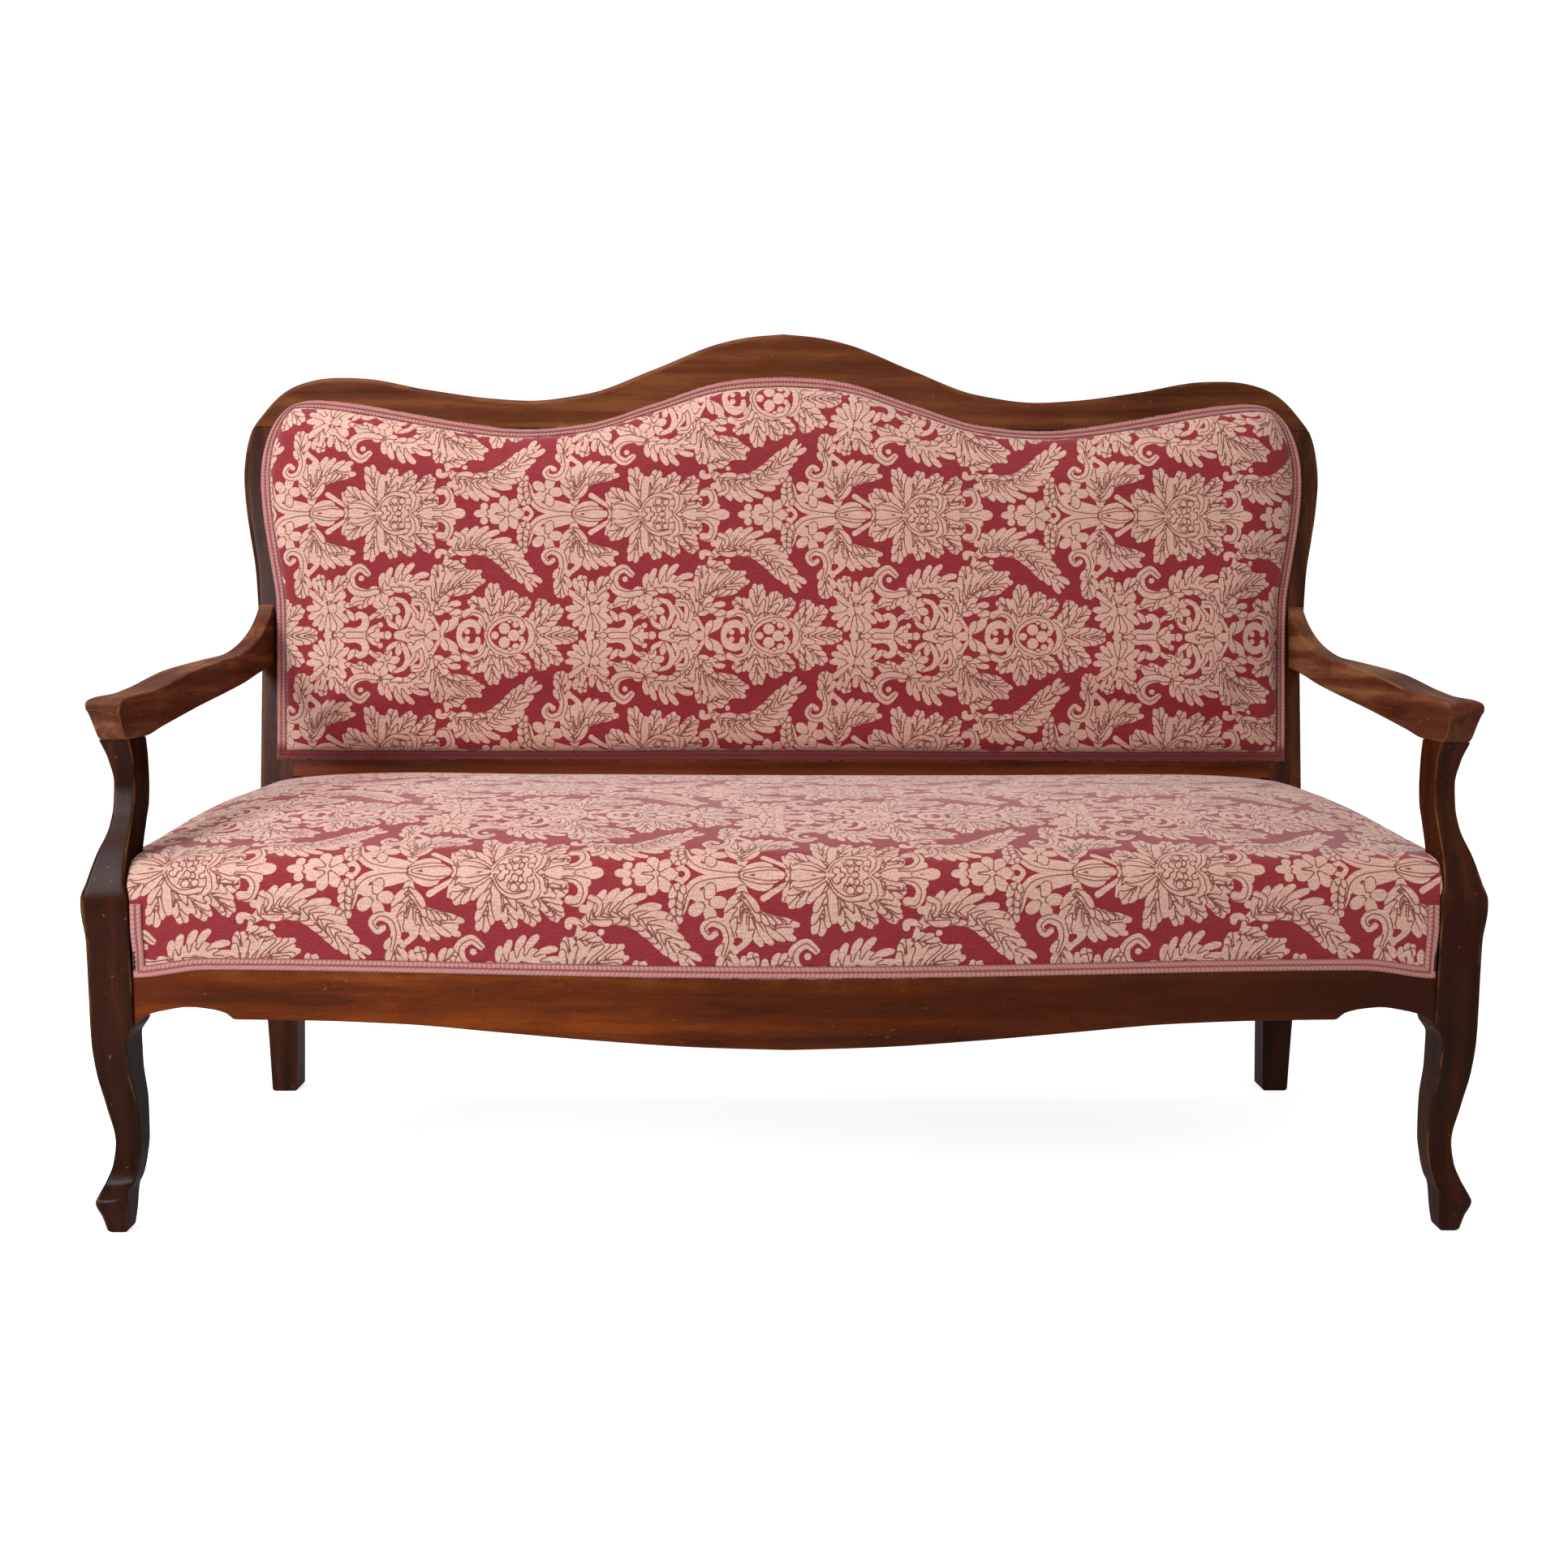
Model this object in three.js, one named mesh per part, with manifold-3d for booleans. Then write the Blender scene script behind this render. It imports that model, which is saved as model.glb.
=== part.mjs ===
// Cabriole settee: a show-wood frame with a sprung, upholstered seat and an upholstered back.
// Millimetres. X to the right, Y towards the back, Z up; the feet stand on the floor at zero.
import * as THREE from 'three';
import { mergeVertices } from 'three/addons/utils/BufferGeometryUtils.js';
import Module from 'manifold-3d';

const wasm = await Module();
wasm.setup();

// Overall sizes
const overallWidth = 1640; // across the knees of the front legs
const seatDepth = 560; // front of the knees to the front face of the stiles
const backHeight = 1143; // floor to the top of the crest
const crestDrop = 143; // top of the crest down to the joint of stile and crest rail
const legHeight = 252; // floor to the ends of the apron
const railDepth = 98; // of the seat rails, above those ends
const apronShow = 66; // polished wood of the apron's ends, below the seat's cover
const armSupport = 233; // top of the rails to the joint of front post and armrest
const armRise = 49; // height of the armrest above that joint, at the knuckle
const seatFrontRise = 96; // of the seat's front edge above the rails
const seatRearRise = 120; // of the seat's rear corners above the rails
const seatCrown = 34; // rise of the seat above a line between those edges
const leanRise = 84; // height above the rails at which the back starts to lean
const backLean = THREE.MathUtils.degToRad(8.26);

// Heights above the floor
const railTop = legHeight + railDepth;
const coverEdge = legHeight + apronShow;
const seatFront = railTop + seatFrontRise;
const seatRear = railTop + seatRearRise;
const armJoint = railTop + armSupport;
const backJoint = backHeight - crestDrop;
const leanStart = railTop + leanRise;

// Stock and fits
const clearance = 0.3; // left between pieces that touch
const postStock = 62; // square stock that the front posts are sawn from
const stileWidth = 48;
const stileDepth = 44; // at the seat
const backThickness = 33; // of the stiles and rails above the seat
const legRake = 43; // how far the rear feet stand behind the stiles
const arris = 4; // flat taken off the long edges
const overrun = 20; // how far a cutting body runs past what it cuts

// Seat frame
const railThickness = 38;
const apronLip = 14; // the part of a rail that hides the webbing
const apronArch = 21; // rise of the small arches beside the legs
const ledgeMargin = 3; // webbing ledge above the arches
const frontSetback = 8; // apron face behind the knees
const bow = 50; // of the serpentine front
const bowReachShare = 0.84; // of half the width
const sideFront = 17; // rail face inside the knee, at the front post
const sideRear = 50; // rail face inside the knee, at the stile
const tenonLength = 22;
const tenonThickness = 12;
const tenonShoulder = 9;
const tenonWall = 3; // wood between two mortises that meet in one post
const blockReach = 76; // of a corner block along the rails
const blockMargin = 8; // of a corner block from the rail's top and ledge
const rearShow = 6; // underside of the rear rail above the apron's ends

// Springing
const webWidth = 50;
const webThickness = 2;
const springColumns = 5;
const springRows = 3;
const sideMargin = 260; // middle of the outer springs inside the knees
const springInset = 17; // springs inside the slopes of the canvas, at front and rear
const springHeight = 114;
const springRadius = 45;
const springWaist = 29;
const wireRadius = 1.9;
const springTurns = 4;
const curlSteps = 8;
const wireSides = 5;
const canvasThickness = 1.5;
const canvasRamp = 58;
const canvasMargin = 12;

// Upholstery
const coverThickness = 2.5;
const seatRoll = 44; // depth of the rolled seat edge
const gimpWidth = 14;
const gimpThickness = 2.5;
const flangeMargin = 1; // flat border of the back cover beyond the width of the gimp
const backRoll = 52; // width of the rolled border of the back
const backPuff = 27; // thickness of the back at that roll
const backCrown = 14; // further rise in the middle of the back
const lowerRailGap = 16; // underside of the lower back rail above the seat's rear corners
const lowerRailShow = 25; // polished wood of that rail, below the back upholstery
const lowerRailHeight = 75;
const uprightWidth = 60;
const padHem = 3; // stuffing and webbing kept in from the flange
const crestOverlap = 35; // crest rail behind the back upholstery
const backWebShares = [-0.62, -0.31, 0.31, 0.62]; // places of the back webs, of half the width

const half = overallWidth / 2;
const webLedge = legHeight + apronArch + ledgeMargin;
const seatBack = seatDepth + stileDepth;
const rearLow = legHeight + rearShow;
const lowerRailBottom = seatRear + lowerRailGap;
const flange = gimpWidth + flangeMargin;
const panelBottom = lowerRailBottom + lowerRailShow;
const springPitch = (overallWidth - 2 * sideMargin) / (springColumns - 1);
const rowInset = railThickness + canvasRamp + springRadius + springInset;
const firstRow = frontSetback + rowInset;
const rowPitch = (seatBack - rowInset - firstRow) / (springRows - 1);

const walnut = { color: 0x4b2a17, roughness: 0.42 };
const beech = { color: 0xb58a5c, roughness: 0.7 };
const damask = { color: 0xb4304c, roughness: 0.8 };
const braid = { color: 0xc98087, roughness: 0.85 };
const jute = { color: 0xa98f63, roughness: 0.95 };
const stuffing = { color: 0xd9cfb8, roughness: 1 };
const steel = { color: 0x8a8d90, roughness: 0.4, metalness: 0.9 };
const cambric = { color: 0x2b2523, roughness: 0.95 };

const settee = new THREE.Group();

function add(name, geometry, finish) {
  const mesh = new THREE.Mesh(geometry, new THREE.MeshStandardMaterial(finish));
  mesh.name = name;
  settee.add(mesh);
}

// Smooth curve through rising stations [at, value], with no overshoot and level between equal values
function track(stations) {
  const climbs = stations.slice(1).map(([at, value], i) => (value - stations[i][1]) / (at - stations[i][0]));
  const slopes = stations.map((_, i) => {
    const before = climbs[Math.max(i - 1, 0)];
    const after = climbs[Math.min(i, climbs.length - 1)];
    return before * after > 0 ? 2 * before * after / (before + after) : 0;
  });
  return (at) => {
    const next = stations.findIndex(([place]) => place > at);
    const i = next < 0 ? climbs.length - 1 : Math.max(next - 1, 0);
    const [from, value] = stations[i];
    const span = stations[i + 1][0] - from;
    const t = Math.min(Math.max((at - from) / span, 0), 1);
    const [h, k] = [3 * t * t - 2 * t * t * t, t * (1 - t)];
    return value + (stations[i + 1][1] - value) * h + span * k * (slopes[i] * (1 - t) - slopes[i + 1] * t);
  };
}

// Closed body with its faces turned outwards
function body(points, faces) {
  const volume = faces.reduce((sum, [a, b, c]) => sum + points[a].dot(points[b].clone().cross(points[c])), 0);
  const turned = volume < 0 ? faces.map(([a, b, c]) => [a, c, b]) : faces;
  const geometry = new THREE.BufferGeometry().setFromPoints(points);
  return geometry.setIndex(turned.flat());
}

// Lid over one ring, triangulated in the plane that shows the ring largest
function lid(ring, first) {
  const areas = [['y', 'z'], ['z', 'x'], ['x', 'y']].map(([u, v]) => {
    const flat = ring.map((point) => new THREE.Vector2(point[u], point[v]));
    return { flat, area: THREE.ShapeUtils.area(flat) };
  });
  areas.sort((one, other) => Math.abs(other.area) - Math.abs(one.area));
  const [{ flat, area }] = areas;
  const order = ring.map((_, i) => (area > 0 ? i : ring.length - 1 - i));
  const faces = THREE.ShapeUtils.triangulateShape(order.map((i) => flat[i]), []);
  return faces.map((face) => {
    const corners = face.map((i) => first + order[i]);
    return area > 0 ? corners : corners.reverse();
  });
}

// Body through a row of rings that each hold the same number of points
function loft(rings) {
  const count = rings[0].length;
  const faces = lid(rings[0], 0).map((face) => face.reverse());
  for (let r = 0; r < rings.length - 1; r += 1) {
    for (let k = 0; k < count; k += 1) {
      const a = r * count + k;
      const b = r * count + (k + 1) % count;
      faces.push([a, b, b + count], [a, b + count, a + count]);
    }
  }
  faces.push(...lid(rings[rings.length - 1], (rings.length - 1) * count));
  return body(rings.flat(), faces);
}

// Body between two sheets of the same grid
function blanket(us, vs, top, under) {
  const grid = (sheet) => vs.flatMap((v) => us.map((u) => sheet(u, v)));
  const points = [...grid(top), ...grid(under)];
  const faces = [];
  const [columns, size] = [us.length, us.length * vs.length];
  const quad = (a, b, c, d) => faces.push([a, b, c], [a, c, d]);
  for (let j = 0; j < vs.length - 1; j += 1) {
    for (let i = 0; i < columns - 1; i += 1) {
      const a = j * columns + i;
      quad(a, a + 1, a + columns + 1, a + columns);
      quad(size + a, size + a + columns, size + a + columns + 1, size + a + 1);
    }
  }
  for (let i = 0; i < columns - 1; i += 1) {
    const b = (vs.length - 1) * columns + i;
    quad(i + 1, i, size + i, size + i + 1);
    quad(b, b + 1, size + b + 1, size + b);
  }
  for (let j = 0; j < vs.length - 1; j += 1) {
    const a = j * columns;
    const b = a + columns - 1;
    quad(a, a + columns, size + a + columns, size + a);
    quad(b + columns, b, size + b, size + b + columns);
  }
  return body(points, faces);
}

function mirrored(geometry) {
  const copy = geometry.clone().scale(-1, 1, 1);
  const index = copy.getIndex().array;
  for (let i = 0; i < index.length; i += 3) {
    [index[i + 1], index[i + 2]] = [index[i + 2], index[i + 1]];
  }
  return copy;
}

function toSolid(geometry) {
  const vertProperties = Float32Array.from(geometry.getAttribute('position').array);
  const triVerts = Uint32Array.from(geometry.getIndex().array);
  return new wasm.Manifold(new wasm.Mesh({ numProp: 3, vertProperties, triVerts }));
}

function fromSolid(solid) {
  const { vertProperties, triVerts } = solid.getMesh();
  const geometry = new THREE.BufferGeometry();
  geometry.setAttribute('position', new THREE.BufferAttribute(vertProperties, 3));
  return mergeVertices(geometry.setIndex(Array.from(triVerts)));
}

function cut(geometry, ...tools) {
  return fromSolid(tools.reduce((solid, tool) => solid.subtract(toSolid(tool)), toSolid(geometry)));
}

function join(geometry, ...others) {
  return fromSolid(others.reduce((solid, other) => solid.add(toSolid(other)), toSolid(geometry)));
}

const vector = (x, y, z) => new THREE.Vector3(x, y, z);
const lerp = THREE.MathUtils.lerp;
const steps = (count, from = 0, to = 1) => (
  Array.from({ length: count + 1 }, (_, i) => lerp(from, to, i / count))
);

// Upright box, grown on every side by a fit
function block([x0, x1], [y0, y1], [z0, z1], grow = 0) {
  const ring = (z) => [[x0, y0, 1, 1], [x1, y0, -1, 1], [x1, y1, -1, -1], [x0, y1, 1, -1]]
    .map(([x, y, inX, inY]) => vector(x - inX * grow, y - inY * grow, z));
  return loft([ring(z0 - grow), ring(z1 + grow)]);
}

// Rectangle with its corners taken off: the plan of a post at one height
function plan(x0, x1, y0, y1, z) {
  const a = Math.min(arris, (x1 - x0) / 3, (y1 - y0) / 3);
  const outline = [[x0 + a, y0], [x1 - a, y0], [x1, y0 + a], [x1, y1 - a],
    [x1 - a, y1], [x0 + a, y1], [x0, y1 - a], [x0, y0 + a]];
  return outline.map(([x, y]) => vector(x, y, z));
}

// Front and rear faces of the back frame at a height: the frame thins evenly up to the crest
const backFace = (z) => seatDepth + Math.max(z - leanStart, 0) * Math.tan(backLean);
const thinning = (stileDepth - backThickness) / (backHeight - leanStart);
const rearFace = (z) => backFace(z) + stileDepth - Math.max(z - leanStart, 0) * thinning;

// Front posts: cabriole leg, joint block and arm support in one piece. Each station gives the
// height as a share of its stretch, then the outer, inner, front and rear faces as shares of the stock.
const legShares = [
  [0, 0.23, 0.74, 0.16, 0.74], [0.08, 0.14, 0.79, 0.09, 0.79], [0.15, 0.06, 0.81, 0.03, 0.81],
  [0.19, 0.13, 0.84, 0.1, 0.84], [0.25, 0.23, 0.89, 0.21, 0.9], [0.32, 0.3, 0.93, 0.32, 0.94],
  [0.42, 0.32, 0.92, 0.42, 0.98], [0.6, 0.23, 0.88, 0.34, 1], [0.77, 0.13, 0.82, 0.19, 1],
  [0.92, 0.07, 0.86, 0.11, 1], [1, 0.06, 0.97, 0.08, 1],
];
const supportShares = [
  [0, 0.055, 0.97, 0.03, 1], [0.17, 0, 0.97, 0, 1], [0.22, 0.01, 0.97, 0.02, 1.01],
  [0.305, 0.08, 0.9, 0.1, 1.06], [0.425, 0.21, 0.89, 0.26, 1.16], [0.571, 0.39, 0.92, 0.48, 1.32],
  [0.674, 0.46, 0.95, 0.61, 1.42], [0.79, 0.47, 0.945, 0.68, 1.48], [0.9, 0.43, 0.94, 0.65, 1.47],
  [1, 0.32, 0.93, 0.5, 1.42],
];
const postStations = [
  ...legShares.map(([height, ...faces]) => [height * legHeight, ...faces]),
  ...supportShares.map(([height, ...faces]) => [lerp(railTop, armJoint, height), ...faces]),
];
const postTracks = [1, 2, 3, 4].map((column) => (
  track(postStations.map((row) => [row[0], row[column] * postStock]))
));

function postBody(grow) {
  const heights = postStations.flatMap(([z], i) => (i ? [(z + postStations[i - 1][0]) / 2, z] : [z]));
  return loft(heights.map((z, i) => {
    const [outer, inner, front, rear] = postTracks.map((face) => face(z));
    const end = i === 0 ? -grow : (i === heights.length - 1) * grow;
    return plan(half - inner - grow, half - outer + grow, front - grow, rear + grow, z + end);
  }));
}

const postInner = half - postTracks[1](railTop);
const postRear = postTracks[3](railTop);

// Stiles: rear leg and back post in one piece. Each station gives a height as a share of its
// stretch, below the apron's ends or above the arm, the outer and inner faces as shares of the
// width, then the rake as a share.
const armEndShares = [1.33, 3.16]; // lower and upper edge where the arm meets the stile, of its rise
const [armEndLow, armEndTop] = armEndShares.map((share) => armJoint + share * armRise);
const rearLegShares = [
  [0, 0.96, 1.83, 1], [0.44, 0.96, 1.98, 0.66], [0.8, 0.98, 2.03, 0.17], [1, 1.04, 2.04, 0],
];
const armStileShares = [1.04, 2.04]; // faces of the stile up to the arm's underside
const backPostShares = [
  [0, 0.875, 2.04], [0.2, 0.77, 1.97], [0.389, 0.594, 1.83], [0.572, 0.44, 1.7],
  [0.732, 0.365, 1.6], [0.849, 0.42, 1.65], [0.924, 0.48, 1.75], [1, 0.61, 1.87],
];
const stileStations = [
  ...rearLegShares.map(([height, ...faces]) => [height * legHeight, ...faces]),
  [leanStart, ...armStileShares, 0],
  [armEndLow, ...armStileShares, 0],
  ...backPostShares.map(([height, ...faces]) => [lerp(armEndTop, backJoint, height), ...faces, 0]),
];
const [stileOuter, stileInner, stileRake] = [stileWidth, stileWidth, legRake].map((size, column) => (
  track(stileStations.map((row) => [row[0], row[column + 1] * size]))
));

function stileBody(grow) {
  const heights = stileStations.flatMap(([z], i) => (i ? [(z + stileStations[i - 1][0]) / 2, z] : [z]));
  return loft(heights.map((z, i) => {
    const end = i === 0 ? -grow : (i === heights.length - 1) * grow;
    const [x0, x1] = [half - stileInner(z) - grow, half - stileOuter(z) + grow];
    return plan(x0, x1, backFace(z) + stileRake(z) - grow, rearFace(z) + stileRake(z) + grow, z + end);
  }));
}

const stileFace = half - stileInner(railTop); // inner face of the stile, level up to the arm
const crestReach = half - stileOuter(backJoint);

// Seat outline: the serpentine front and the sides that taper to the stiles
const frontAt = (x) => {
  const t = Math.min(Math.abs(x) / (bowReachShare * half), 1);
  return frontSetback - bow * (1 + Math.cos(Math.PI * t)) / 2;
};
const sideAt = (y) => half - lerp(sideFront, sideRear, (y - postRear) / (seatDepth - postRear));

// Rails: one section, carried along the seat's outline. Depth runs inwards from the outer face.
const rebate = coverThickness + clearance;

function rail(stations, place, lowAt) {
  return loft(stations.map((s) => {
    const low = lowAt(s);
    const ledge = coverEdge - clearance;
    const section = [[0, low], [0, ledge], [rebate, ledge], [rebate, railTop], [railThickness, railTop],
      [railThickness, webLedge], [apronLip, webLedge], [apronLip, low]];
    return section.map(([depth, z]) => place(s, depth, z));
  }));
}

const frontLowShares = [
  [0, -0.81], [0.138, -0.69], [0.288, -0.43], [0.438, -0.11], [0.587, 0.2], [0.737, 0.29], [0.846, 0.3],
  [0.861, 0.67], [0.886, 0.9], [0.917, 1], [0.954, 0.81], [0.979, 0.57], [1, 0],
];
const frontLow = track(frontLowShares.map(([x, rise]) => [x * postInner, legHeight + rise * apronArch]));
const sideLowShares = [
  [0, 0], [0.03, 0.6], [0.09, 1], [0.14, 0.67], [0.165, 0.3],
  [0.835, 0.3], [0.86, 0.67], [0.91, 1], [0.97, 0.6], [1, 0],
];
const sideLow = track(sideLowShares.map(([y, rise]) => (
  [lerp(postRear, seatDepth, y), legHeight + rise * apronArch]
)));
const tenonRise = [webLedge + tenonShoulder, railTop - tenonShoulder];

// Front rail, with a tenon into each post
const frontTenonY = [frontSetback + tenonThickness, frontSetback + 2 * tenonThickness];
const frontTenonX = [postInner - overrun, postInner + tenonLength];
const frontTenon = (grow) => block(frontTenonX, frontTenonY, tenonRise, grow);
const frontEnd = postInner - clearance;
const frontEvenShare = 0.72; // of half the front rail, with its stations at even steps
const frontEndShares = frontLowShares.map(([x]) => x).filter((x) => x > frontEvenShare);
const frontStations = [...steps(11, 0, frontEvenShare), ...frontEndShares].map((x) => x * frontEnd);
const frontRailX = [...frontStations.slice(1).reverse().map((x) => -x), ...frontStations];
const frontRail = rail(
  frontRailX,
  (x, depth, z) => vector(x, frontAt(x) + depth, z),
  (x) => frontLow(Math.abs(x)),
);
add('front_seat_rail', join(frontRail, frontTenon(0), mirrored(frontTenon(0))), walnut);

// Side rails, tenoned into the post and the stile
const sideCentre = (y) => sideAt(y) - (railThickness + rebate) / 2;
const sideTenonX = (y) => [sideCentre(y) - tenonThickness / 2, sideCentre(y) + tenonThickness / 2];
const sideTenonY = [Math.max(postRear - tenonLength, frontTenonY[1] + tenonWall), postRear + overrun];
const rearTenonY = [seatBack - tenonShoulder - tenonThickness, seatBack - tenonShoulder];
const stileTenonY = [seatDepth - overrun, Math.min(seatDepth + tenonLength, rearTenonY[0] - tenonWall)];
const sideTenonFront = (grow) => block(sideTenonX(postRear), sideTenonY, tenonRise, grow);
const sideTenonRear = (grow) => block(sideTenonX(seatDepth), stileTenonY, tenonRise, grow);
const sideStations = sideLowShares.map(([y]) => lerp(postRear + clearance, seatDepth - clearance, y));
const sideRail = join(
  rail(sideStations, (y, depth, z) => vector(sideAt(y) - depth, y, z), sideLow),
  sideTenonFront(0),
  sideTenonRear(0),
);
add('side_seat_rail_right', sideRail, walnut);
add('side_seat_rail_left', mirrored(sideRail), walnut);

// Rear rail, flush with the backs of the stiles
const rearTenonX = [stileFace - overrun, stileFace + tenonLength];
const rearTenon = (grow) => block(rearTenonX, rearTenonY, tenonRise, grow);
const rearRail = loft([-1, 1].map((side) => (
  [[0, rearLow], [0, railTop], [railThickness, railTop], [railThickness, webLedge], [apronLip, webLedge],
    [apronLip, rearLow]].map(([depth, z]) => vector(side * (stileFace - clearance), seatBack - depth, z))
)));
add('rear_seat_rail', join(rearRail, rearTenon(0), mirrored(rearTenon(0))), beech);

// Lower back rail: its face shows between the seat and the back upholstery
const leaning = (x0, x1, z0, z1, from, to, grow = 0) => loft([x0 - grow, x1 + grow].map((x) => (
  [[z0 - grow, from - grow], [z0 - grow, to + grow], [z1 + grow, to + grow], [z1 + grow, from - grow]]
    .map(([z, depth]) => vector(x, backFace(z) + depth, z))
)));
const lowerRailTop = lowerRailBottom + lowerRailHeight;
const backTenon = [(backThickness - tenonThickness) / 2, (backThickness + tenonThickness) / 2];
const lowerTenon = (grow) => leaning(
  stileFace - overrun,
  stileFace + tenonLength,
  lowerRailBottom + tenonShoulder,
  lowerRailTop - tenonShoulder,
  ...backTenon,
  grow,
);
const lowerFace = stileFace - clearance;
const lowerRail = leaning(-lowerFace, lowerFace, lowerRailBottom, lowerRailTop, 0, backThickness);

// Crest rail: its two edges as shares of the reach and of the drop from crest to joint
const crestTopShares = [
  [0, 0], [0.06, 0.03], [0.12, 0.1], [0.245, 0.375], [0.37, 0.63], [0.48, 0.706], [0.55, 0.685],
  [0.675, 0.594], [0.8, 0.479], [0.85, 0.476], [0.92, 0.56], [0.96, 0.72], [0.985, 0.9], [1, 0.985],
];
const panelTopShares = [
  [0, 0.46], [0.06, 0.475], [0.12, 0.52], [0.245, 0.745], [0.37, 0.955], [0.49, 1.02], [0.55, 0.99],
  [0.675, 0.88], [0.8, 0.755], [0.86, 0.72], [0.925, 0.685], [1, 0.66],
];
const dropCurve = (shares) => (
  track(shares.map(([x, drop]) => [x * crestReach, backHeight - drop * crestDrop]))
);
const crestTop = dropCurve(crestTopShares);
const panelTop = dropCurve(panelTopShares);
const crestJointShare = 0.8; // of the reach, where the crest's underside comes level with its joints
const crestEndShares = [0.83, 0.86, 0.9, 0.94, 0.965, 0.985, 1];
const crestLow = (x) => {
  const free = panelTop(Math.abs(x)) - crestOverlap;
  const share = Math.abs(x) / crestReach;
  return share > crestJointShare ? backJoint : Math.min(free, lerp(free, backJoint, share));
};
const crestStations = [...steps(12, 0, crestJointShare), ...crestEndShares].map((x) => x * crestReach);
const crestX = [...crestStations.slice(1).reverse().map((x) => -x), ...crestStations];
const crestBody = loft(crestX.map((x) => {
  const top = crestTop(Math.abs(x));
  const low = crestLow(x) + clearance;
  const a = Math.min(arris, (top - low) / 3);
  const front = [[low, a], [top, a], [top - a, 0], [low + a, 0]]
    .map(([z, inset]) => vector(x, backFace(z) + inset, z));
  const rear = [[low, a], [low + a, 0], [top - a, 0], [top, a]]
    .map(([z, inset]) => vector(x, rearFace(z) - inset, z));
  return [front[0], ...rear, ...front.slice(1)];
}));

// Tenons that stand on the stiles and the front posts
const stileTenonFrom = half - stileInner(backJoint) + tenonShoulder;
const stileTenonX = [stileTenonFrom, stileTenonFrom + 2 * tenonThickness];
const stileTenon = (grow) => leaning(
  ...stileTenonX,
  backJoint - overrun,
  backJoint + tenonLength,
  ...backTenon,
  grow,
);
const [topOuter, topInner, topFront, topRear] = postTracks.map((face) => face(armJoint));
const postTenon = (grow) => block(
  [half - topInner + tenonShoulder, half - topOuter - tenonShoulder],
  [topFront + tenonShoulder, topRear - 2 * tenonShoulder],
  [armJoint - overrun, armJoint + tenonLength],
  grow,
);

// Upright between the lower back rail and the crest
const uprightTop = crestLow(uprightWidth / 2) + clearance;
const uprightTenon = (end, grow) => leaning(
  -uprightWidth / 2 + tenonShoulder,
  uprightWidth / 2 - tenonShoulder,
  end - tenonLength,
  end + tenonLength,
  ...backTenon,
  grow,
);
const upright = leaning(
  -uprightWidth / 2,
  uprightWidth / 2,
  lowerRailTop + clearance,
  uprightTop - clearance,
  0,
  backThickness,
);
add('back_upright', join(upright, uprightTenon(lowerRailTop, 0), uprightTenon(uprightTop, 0)), beech);
add('lower_back_rail', cut(
  join(lowerRail, lowerTenon(0), mirrored(lowerTenon(0))),
  uprightTenon(lowerRailTop, clearance),
), walnut);
add('crest_rail', cut(
  crestBody,
  stileTenon(clearance),
  mirrored(stileTenon(clearance)),
  uprightTenon(uprightTop, clearance),
), walnut);

// Armrests: each station gives the lower and upper edge, Y as shares of the seat's depth and Z as
// shares of the rise above the joint, then the inner and outer faces as shares of the post's stock,
// or of the stile's width near the stile.
const armShares = [
  [0.021, 0.43, 0.021, 0.61, 0.92, 0.18], [0.027, 0.27, 0.028, 0.78, 0.92, 0.17],
  [0.039, 0.12, 0.041, 0.9, 0.92, 0.19], [0.055, 0, 0.064, 0.98, 0.925, 0.26],
  [0.157, 0, 0.15, 1.05, 0.93, 0.36], [0.252, 0.16, 0.236, 1.13, 0.97, 0.33],
  [0.454, 0.47, 0.434, 1.43, 1.02, 0.33], [0.675, 0.745, 0.654, 1.65, 1.04, 0.52],
  [0.82, 0.94, 0.786, 1.755, 1.05, 0.62], [0.93, 1.14, 0.88, 1.96, 1.06, 0.66],
];
const armRearShares = [[1.009, 1.265, 0.97, 2.33, 1.382, 0.904], [1.036, 1.3, 1.032, 2.73, 1.389, 0.93]];
const armFaceShares = [1.395, 0.944]; // inner and outer faces of the arm's end, of the stile's width
const armRow = (width) => ([lowY, lowZ, topY, topZ, ...faces]) => [
  lowY * seatDepth,
  armJoint + lowZ * armRise,
  topY * seatDepth,
  armJoint + topZ * armRise,
  ...faces.map((face) => face * width),
];
const armFaces = armFaceShares.map((face) => face * stileWidth);
const armStations = [
  ...armShares.map(armRow(postStock)),
  ...armRearShares.map(armRow(stileWidth)),
  [backFace(armEndLow), armEndLow, backFace(armEndTop), armEndTop, ...armFaces],
];
const armTracks = armStations[0].map((_, column) => track(armStations.map((row, i) => [i, row[column]])));
const armCount = armStations.length - 1;
const armBody = loft(steps(2 * armCount, 0, armCount).map((t) => {
  const [lowY, lowZ, topY, topZ, inner, outer] = armTracks.map((column) => column(t));
  const tall = Math.hypot(topY - lowY, topZ - lowZ);
  const [x0, x1] = [half - inner, half - outer];
  const a = Math.min(arris, tall / 3);
  const section = [[x0 + a, 0], [x1 - a, 0], [x1, a], [x1, tall - a],
    [x1 - a, tall], [x0 + a, tall], [x0, tall - a], [x0, a]];
  return section.map(([x, up]) => {
    const share = up / tall;
    return vector(x, lerp(lowY, topY, share) - clearance, lerp(lowZ, topZ, share) + clearance);
  });
}));
const armTenonMiddle = half - (armFaces[0] + armFaces[1]) / 2;
const armTenonShares = [0.25, 0.7]; // of the height of the arm's end
const armTenonZ = armTenonShares.map((share) => lerp(armEndLow, armEndTop, share));
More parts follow.
